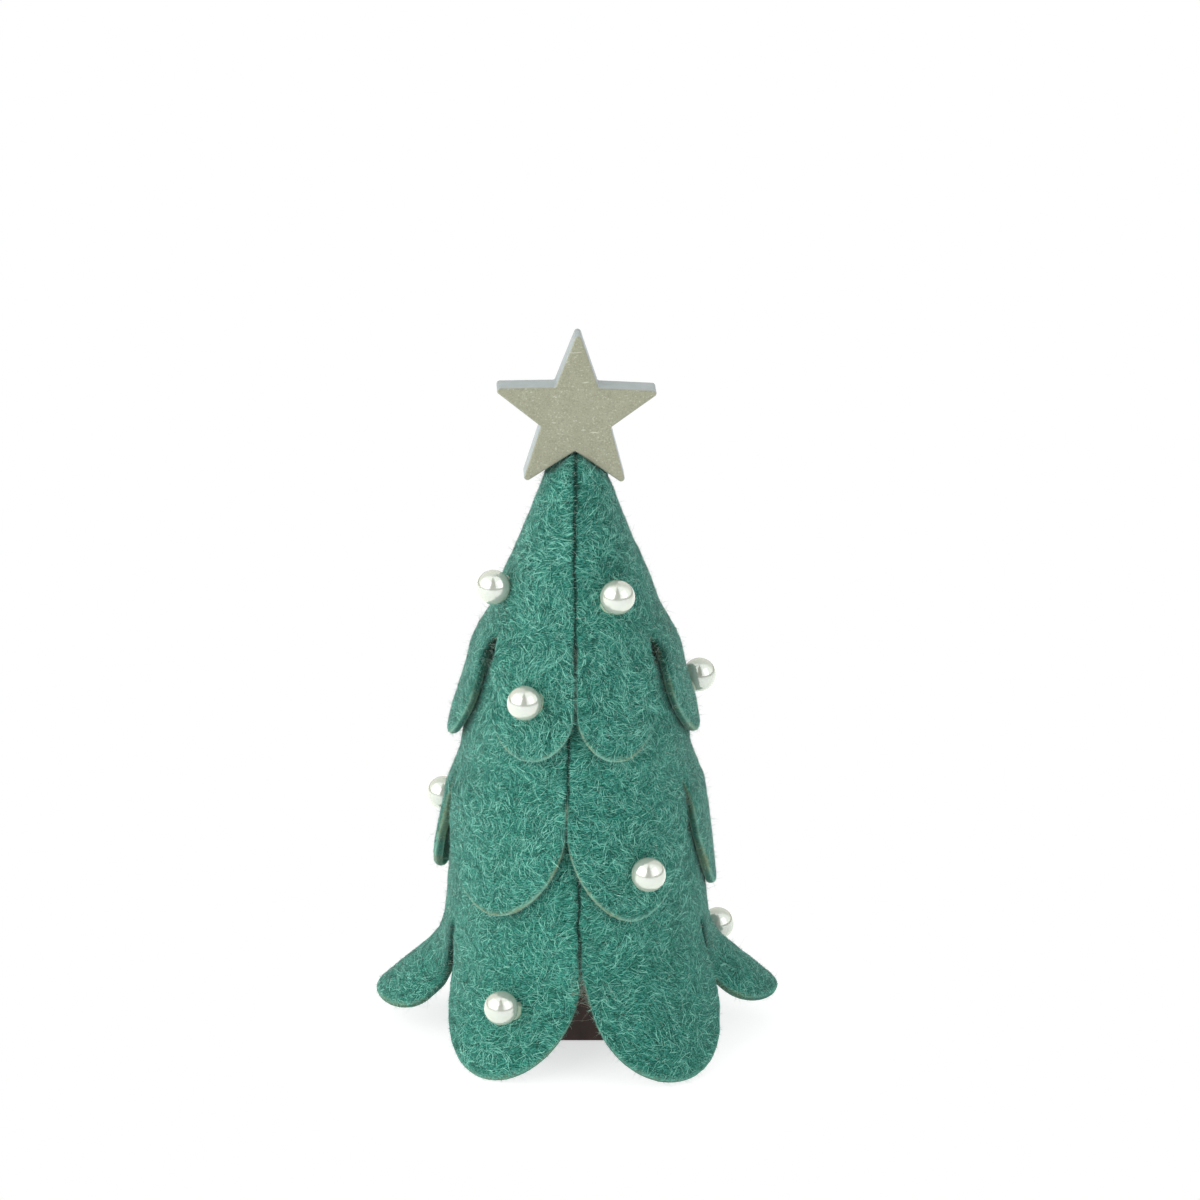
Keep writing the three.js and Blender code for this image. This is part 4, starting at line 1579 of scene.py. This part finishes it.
@dataclass
class Beads:
    """The pearls and the glue beside them, in millimetres."""

    radius: float = 4.0
    pearl_grid: tuple[int, int] = (36, 56)
    glue_grid: tuple[int, int] = (24, 36)
    glue_half_width: float = 1.1
    glue_half_length: float = 2.6
    glue_half_height: float = 1.5
    glue_outward: float = 0.35
    glue_dent: float = 0.22
    glue_dent_grain: float = 1.4
    glue_dent_spread: float = 3.0

    def pearl(self, seat: Seat, name: str) -> bpy.types.Object:
        """One pearl: a ball that sinks a little into the felt.

        Args:
            seat: where it sits.
            name: object name.
        Returns:
            The object.
        """
        points, faces = ball(*self.pearl_grid)
        place, right, up, normal = seat.axes()
        turned = points @ np.stack([right, up, normal])
        centre = place + seat.standoff * normal
        return make_object(name, (centre + self.radius * turned).reshape(-1, 3), faces)

    def glue(self, seat: Seat, name: str, seed: int) -> bpy.types.Object:
        """One uneven flat drop of glue, squeezed out on one side of its pearl.

        A ball of radius one is dented by noise, stretched, bent round the pearl's middle and turned
        by the seat's turn.

        Args:
            seat: where its pearl sits.
            name: object name.
            seed: changes the dents.
        Returns:
            The object.
        """
        points, faces = ball(*self.glue_grid)
        place, right, up, normal = seat.axes()
        dents = Noise(self.glue_dent, self.glue_dent_grain, seed)
        lump = 1 + dents.at(points * self.glue_dent_spread + seed)
        half_height = self.glue_half_height + seat.standoff - STANDOFF
        half_sizes = np.array([self.glue_half_width, self.glue_half_length, half_height])
        shaped = points * lump[..., None] * half_sizes
        middle = seat.glue_aside + self.glue_outward
        swing = shaped[..., 1] / middle
        reach = middle + shaped[..., 0]
        shaped = np.stack([reach * np.cos(swing), reach * np.sin(swing), shaped[..., 2]], -1)
        cosine, sine = math.cos(math.radians(seat.glue_turn)), math.sin(math.radians(seat.glue_turn))
        spin = np.array([[cosine, sine, 0], [-sine, cosine, 0], [0, 0, 1]])
        world = place + (shaped @ spin) @ np.stack([right, up, normal])
        return make_object(name, world.reshape(-1, 3), faces)


# Star and trunk


@dataclass
class Star:
    """The thick five-point star with rounded corners and softened edges, in millimetres."""

    notch_height: float = CORE_TOP + 7.3
    tip: float = 20.5
    waist: float = 8.4
    thickness: float = 6.3
    tip_round: float = 0.8
    inner_round: float = 0.5
    lean: float = math.radians(1.7)
    bevel: float = 0.45
    corner_count: int = 10
    arc_points: int = 9
    side_points: int = 12
    bevel_rings: int = 6
    face_rings: int = 12
    face_shares: tuple[float, float] = (0.06, 0.97)

    def corner(self, index: int) -> Array:
        """A sharp corner of the outline.

        Args:
            index: corner number, even for tips.
        Returns:
            Its place in the star's plane.
        """
        radius = self.tip if index % 2 == 0 else self.waist
        turn = math.pi / 2 + index * 2 * math.pi / self.corner_count
        return np.array([radius * math.cos(turn), radius * math.sin(turn)])

    def outline(self) -> Array:
        """The outline: an arc at each corner, joined by straight sides with points along them.

        Returns:
            Points in the star's plane, against the clock.
        """
        arcs = []
        for i in range(self.corner_count):
            here = self.corner(i)
            back = unit(self.corner(i - 1) - here)
            ahead = unit(self.corner(i + 1) - here)
            radius = self.tip_round if i % 2 == 0 else self.inner_round
            half = math.acos(float(back @ ahead)) / 2
            middle = here + unit(back + ahead) * radius / math.sin(half)
            first = here + back * radius / math.tan(half) - middle
            last = here + ahead * radius / math.tan(half) - middle
            start = math.atan2(first[1], first[0])
            sweep = (math.atan2(last[1], last[0]) - start + math.pi) % (2 * math.pi) - math.pi
            turn = start + sweep * np.linspace(0, 1, self.arc_points)
            arcs.append(middle + radius * np.stack([np.cos(turn), np.sin(turn)], -1))
        line = []
        share = np.linspace(0, 1, self.side_points)[1:-1, None]
        for arc, after in zip(arcs, arcs[1:] + arcs[:1]):
            line += [arc, arc[-1] * (1 - share) + after[0] * share]
        return np.concatenate(line)

    def build(self) -> bpy.types.Object:
        """Builds the star: rings of the outline, drawn in at the bevels and then to the middle.

        A bevel's ring is drawn in by one minus the sine, and lowered by one minus the cosine, of
        an angle that goes from zero to a quarter turn.

        Returns:
            The object.
        """
        line = self.outline()
        tangent = unit(np.roll(line, -1, 0) - np.roll(line, 1, 0))
        inward = np.stack([-tangent[:, 1], tangent[:, 0]], -1)
        half = self.thickness / 2
        edge = line + inward * self.bevel
        front = [(edge * share, half) for share in np.linspace(*self.face_shares, self.face_rings)]
        for angle in np.linspace(0, math.pi / 2, self.bevel_rings):
            ring = line + inward * self.bevel * (1 - math.sin(angle))
            front.append((ring, half - self.bevel * (1 - math.cos(angle))))
        points, faces = ringed_body(front + [(ring, -level) for ring, level in reversed(front)])
        lean, turn = -self.lean, STAR_TURN
        x = points[:, 0] * math.cos(lean) - points[:, 1] * math.sin(lean)
        z = points[:, 0] * math.sin(lean) + points[:, 1] * math.cos(lean) + self.notch_height + self.waist
        y = -points[:, 2]
        turned = (x * math.cos(turn) - y * math.sin(turn), x * math.sin(turn) + y * math.cos(turn), z)
        return make_object("star_painted", np.stack(turned, -1), faces[:, ::-1])


@dataclass
class Trunk:
    """The square wooden block, with soft edges, in millimetres."""

    width: float = 25.0
    height: float = 24.0
    edge: float = 0.8
    round_points: int = 96
    edge_rings: int = 5
    side_rings: int = 8

    def build(self) -> bpy.types.Object:
        """Builds the block: rings of a rounded square, drawn in at the top and bottom edges.

        A ring is the corner of a smaller square in its own quarter plus a quarter circle's spread.

        Returns:
            The object.
        """
        turn = np.linspace(0, 2 * math.pi, self.round_points, endpoint=False) + math.pi / 4
        quarter = np.floor((turn % (2 * math.pi)) / (math.pi / 2)) * math.pi / 2 + math.pi / 4
        flat = self.width / 2 - self.edge
        middle = flat * math.sqrt(2) * np.stack([np.cos(quarter), np.sin(quarter)], -1)
        spread = np.stack([np.cos(turn), np.sin(turn)], -1)
        rings = []
        for angle in np.linspace(0, math.pi / 2, self.edge_rings):
            rings.append((middle + spread * self.edge * math.sin(angle), self.edge * (1 - math.cos(angle))))
        rounded = [(ring, self.height - level) for ring, level in reversed(rings)]
        for level in np.linspace(self.edge, self.height - self.edge, self.side_rings)[1:-1]:
            rings.append((middle + spread * self.edge, level))
        points, faces = ringed_body(rings + rounded)
        return make_object("trunk_block", points, faces)


# Studio


@dataclass
class Studio:
    """Camera, soft lights, a pale floor and a white surround. Places are in metres."""

    target: tuple = (0.00552, 0.0, 0.1059)
    distance: float = 1.1
    pitch: float = math.radians(20)
    lens: float = 143.5
    sensor: float = 36.0
    nearest: float = 0.01
    lit: tuple = (0.0, 0.0, 0.09)
    floor_x: tuple = (-3.0, 3.0)
    floor_y: tuple = (-2.5, 6.0)
    floor_drop: float = 0.00002
    floor_glow: float = 0.52
    floor_fade: tuple = (-0.02, 0.078)
    soft_strength: float = 0.45
    dim_strength: float = 0.5
    bright_strength: float = 1.8

    def camera(self) -> None:
        """Adds the camera from which the photo was taken."""
        data = bpy.data.cameras.new("photo_camera")
        data.lens = self.lens
        data.sensor_width = self.sensor
        data.clip_start = self.nearest
        made = bpy.data.objects.new("photo_camera", data)
        x, y, z = self.target
        back = self.distance * math.cos(self.pitch)
        made.location = (x, y - back, z + self.distance * math.sin(self.pitch))
        made.rotation_euler = (math.pi / 2 - self.pitch, 0, 0)
        bpy.context.scene.collection.objects.link(made)
        bpy.context.scene.camera = made

    def lamp(self, name: str, place: tuple, size: tuple, power: float, colour: str) -> bpy.types.Object:
        """Adds one soft rectangular lamp that points at the tree.

        Args:
            name: lamp name.
            place: where it stands, in metres.
            size: width and height in metres.
            power: watts.
            colour: screen colour.
        Returns:
            The lamp.
        """
        data = bpy.data.lights.new(name, "AREA")
        data.shape = "RECTANGLE"
        data.size, data.size_y = size
        data.energy = power
        data.color = linear(colour)[:3]
        made = bpy.data.objects.new(name, data)
        made.location = place
        x, y, z = np.array(self.lit) - np.array(place)
        made.rotation_euler = (math.atan2(math.hypot(x, y), -z), 0, math.atan2(-x, y))
        bpy.context.scene.collection.objects.link(made)
        return made

    def floor(self) -> None:
        """Adds the pale floor, which fades to pure white away from the tree where it is seen."""
        x, y = np.meshgrid(np.array(self.floor_x), np.array(self.floor_y))
        points = np.stack([x, y, 0 * x - self.floor_drop], -1).reshape(-1, 3) / MM
        made = make_object("floor", points, grid_faces(2, 2, False))
        material, tree = new_material("pale paper floor")
        inputs = {
            "Base Color": linear("fbfbfb"),
            "Roughness": 0.9,
            "Emission Color": linear(WHITE),
            "Emission Strength": self.floor_glow,
        }
        paper = add_node(tree, "BsdfPrincipled", inputs).outputs[0]
        place = add_node(tree, "TexCoord").outputs["Object"]
        far = add_node(tree, "VectorMath", {0: place}, operation="LENGTH").outputs["Value"]
        near, end = self.floor_fade
        inputs = {"Value": far, "From Min": near, "From Max": end}
        share = add_node(tree, "MapRange", inputs, interpolation_type="SMOOTHSTEP").outputs[0]
        ray = add_node(tree, "LightPath").outputs["Is Camera Ray"]
        seen = add_node(tree, "Math", {0: share, 1: ray}, operation="MULTIPLY").outputs[0]
        white = add_node(tree, "Emission", {"Color": linear(WHITE), "Strength": 1.0}).outputs[0]
        both = add_node(tree, "MixShader", {0: seen, 1: paper, 2: white})
        add_node(tree, "OutputMaterial", {0: both.outputs[0]})
        made.data.materials.append(material)
        made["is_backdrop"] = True

    def windows(self, tree: bpy.types.NodeTree) -> bpy.types.NodeSocket:
        """What shiny pieces mirror: a bright window on each side of a dim strip behind the camera.

        The first ramp's places go from 0 behind the camera to 1 behind the tree, and the second's
        follow the ray's height.

        Args:
            tree: the world's tree.
        Returns:
            The background's socket.
        """
        place = add_node(tree, "TexCoord").outputs["Generated"]
        parts = add_node(tree, "SeparateXYZ", {0: place}).outputs
        back = add_node(tree, "Math", {0: parts[1], 1: -1.0}, operation="MULTIPLY").outputs[0]
        turn = add_node(tree, "Math", {0: parts[0], 1: back}, operation="ARCTAN2").outputs[0]
        apart = add_node(tree, "Math", {0: turn, 1: math.pi}, operation="DIVIDE").outputs[0]
        side = add_node(tree, "Math", {0: apart}, operation="ABSOLUTE").outputs[0]
        stops = {0.09: BLACK, 0.125: WHITE, 0.56: WHITE, 0.7: "b6b6b6"}
        wide = add_node(tree, "ValToRGB", {0: side}, stops).outputs[0]
        high = add_node(tree, "ValToRGB", {0: parts[2]}, {0.1: BLACK, 0.16: WHITE}).outputs[0]
        both = add_node(tree, "Math", {0: wide, 1: high}, operation="MULTIPLY").outputs[0]
        inputs = {"Color": linear("cdc6b2"), "Strength": self.dim_strength}
        dim = add_node(tree, "Background", inputs).outputs[0]
        inputs = {"Color": linear(WHITE), "Strength": self.bright_strength}
        bright = add_node(tree, "Background", inputs).outputs[0]
        return add_node(tree, "MixShader", {0: both, 1: dim, 2: bright}).outputs[0]

    def world(self) -> None:
        """Adds an even grey-white surround, pure white where the camera sees it."""
        world = bpy.data.worlds.new("studio")
        bpy.context.scene.world = world
        world.use_nodes = True
        tree = world.node_tree
        tree.nodes.clear()
        inputs = {"Color": linear("f2f4f6"), "Strength": self.soft_strength}
        soft = add_node(tree, "Background", inputs).outputs[0]
        white = add_node(tree, "Background", {"Color": linear(WHITE), "Strength": 1.0}).outputs[0]
        ray = add_node(tree, "LightPath").outputs
        inputs = {0: ray["Is Glossy Ray"], 1: soft, 2: self.windows(tree)}
        lit = add_node(tree, "MixShader", inputs).outputs[0]
        both = add_node(tree, "MixShader", {0: ray["Is Camera Ray"], 1: lit, 2: white}).outputs[0]
        add_node(tree, "OutputWorld", {0: both})

    def build(self) -> None:
        """Sets up the whole studio, whose colours are shown as they are written."""
        self.camera()
        self.floor()
        self.world()
        self.lamp("tent_left", (-1.0, -0.55, 0.75), (1.8, 1.3), 14.2, WHITE)
        self.lamp("tent_right", (0.95, -0.65, 0.75), (0.75, 1.0), 3.4, "f6f8ff")
        self.lamp("back_top", (0.0, 0.7, 0.9), (0.9, 0.6), 3.0, WHITE).visible_glossy = False
        bpy.context.scene.view_settings.view_transform = "Standard"


# The tree


@dataclass
class FeltTree:
    """The whole object: makes each piece, gives it its finish and ties it to the frame."""

    first_seed: int = 40
    materials: dict[Slot, bpy.types.Material] = field(init=False)
    fibres: dict[Fibre, bpy.types.Material] = field(init=False)

    def __post_init__(self) -> None:
        """Builds the materials. The core's wood is painted dark as shade, as it shows only in the shade of
        the slits.
        """
        self.materials = {
            Slot.FELT: FeltFinish().build(),
            Slot.PEARL: PearlFinish().build(),
            Slot.GLUE: GlueFinish().build(),
            Slot.STAR: StarPaintFinish().build(),
            Slot.TRUNK: WoodFinish("dark stained wood", "2d1a15", "452b23", 0.6).build(),
            # Painted shade: the core's wood is near-black so that it reads as shade where it shows in the
            # slits.
            Slot.BARE: WoodFinish("bare turned wood", "2a2620", "413b31", 0.8).build(),
        }
        self.fibres = {
            Fibre.LYING: FibreFinish(Fibre.LYING, "03261e", "3b9181", "9de9d3").build(),
            Fibre.HAIR: FibreFinish(Fibre.HAIR, "5a8d7d", "8fbcab", "c3d8c4").build(),
            Fibre.LOOSE: FibreFinish(Fibre.LOOSE, "6f8f7c", "a3a48b", "cfc3ab").build(),
        }

    def tie(
        self, made: bpy.types.Object, slot: Slot, material: bpy.types.Material, *nodes: str
    ) -> None:
        """Gives a piece its finish and its place in the frame.

        Args:
            made: the piece.
            slot: its material slot; not used.
            material: its material.
            nodes: the CAD nodes it stands for.
        """
        made.data.materials.append(material)
        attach(made, Body.ROOT.value)
        if nodes:
            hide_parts(*nodes)
        LOG.info("%s: %d faces", made.name, len(made.data.polygons))

    def felt(self) -> None:
        """Builds the three felt tiers with their fibres."""
        sheet = None
        for i, tier in enumerate(TIERS):
            sheet = FeltSheet(tier, cover=sheet)
            made = sheet.build()
            self.tie(made, Slot.FELT, self.materials[Slot.FELT], tier.node)
            coat = FibreCoat(sheet, self.first_seed + i)
            rng = np.random.default_rng(coat.seed)
            lying = coat.lay(rng)
            hairs = coat.fringe(rng)
            self.tie(lying, Slot.FELT, self.fibres[Fibre.LYING])
            self.tie(hairs, Slot.FELT, self.fibres[Fibre.HAIR])
            fuzz = [lying, hairs]
            if tier.wisps:
                fuzz.append(coat.loose(rng))
                self.tie(fuzz[-1], Slot.FELT, self.fibres[Fibre.LOOSE])
            area = sheet.area()
            LOG.info("%s: %.6f square metres of felt", tier.node, area)

    def beads(self) -> None:
        """Builds the pearls and their glue."""
        beads = Beads()
        for i, seat in enumerate(SEATS):
            number = f"{i + 1:02d}"
            pearl = beads.pearl(seat, "bead_" + number)
            glue = beads.glue(seat, "glue_drop_" + number, i)
            self.tie(pearl, Slot.PEARL, self.materials[Slot.PEARL], "pearl_" + number)
            self.tie(glue, Slot.GLUE, self.materials[Slot.GLUE], "glue_" + number)

    def wood(self) -> None:
        """Builds the star and the trunk, and gives the hidden wooden nodes their finish."""
        self.tie(Star().build(), Slot.STAR, self.materials[Slot.STAR], "star")
        self.tie(Trunk().build(), Slot.TRUNK, self.materials[Slot.TRUNK], "trunk")
        for node in ("core", "star_pin", "trunk_dowel"):
            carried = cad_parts[node]
            carried.data.materials.clear()
            carried.data.materials.append(self.materials[Slot.BARE])
            LOG.info("%s: carried from the frame", node)

    def build(self) -> None:
        """Builds every piece."""
        self.felt()
        self.beads()
        self.wood()


def corners() -> list[list[float]]:
    """The shown object's lowest and highest corner as plain lists.

    Returns:
        Two lists of x, y and z in metres.
    """
    low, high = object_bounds()
    return [[float(v) for v in low], [float(v) for v in high]]


def main() -> None:
    """Builds the tree and the studio."""
    logging.basicConfig(level=logging.INFO, format="%(message)s")
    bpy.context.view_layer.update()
    Studio().build()
    FeltTree().build()


if __name__ == "__main__":
    main()
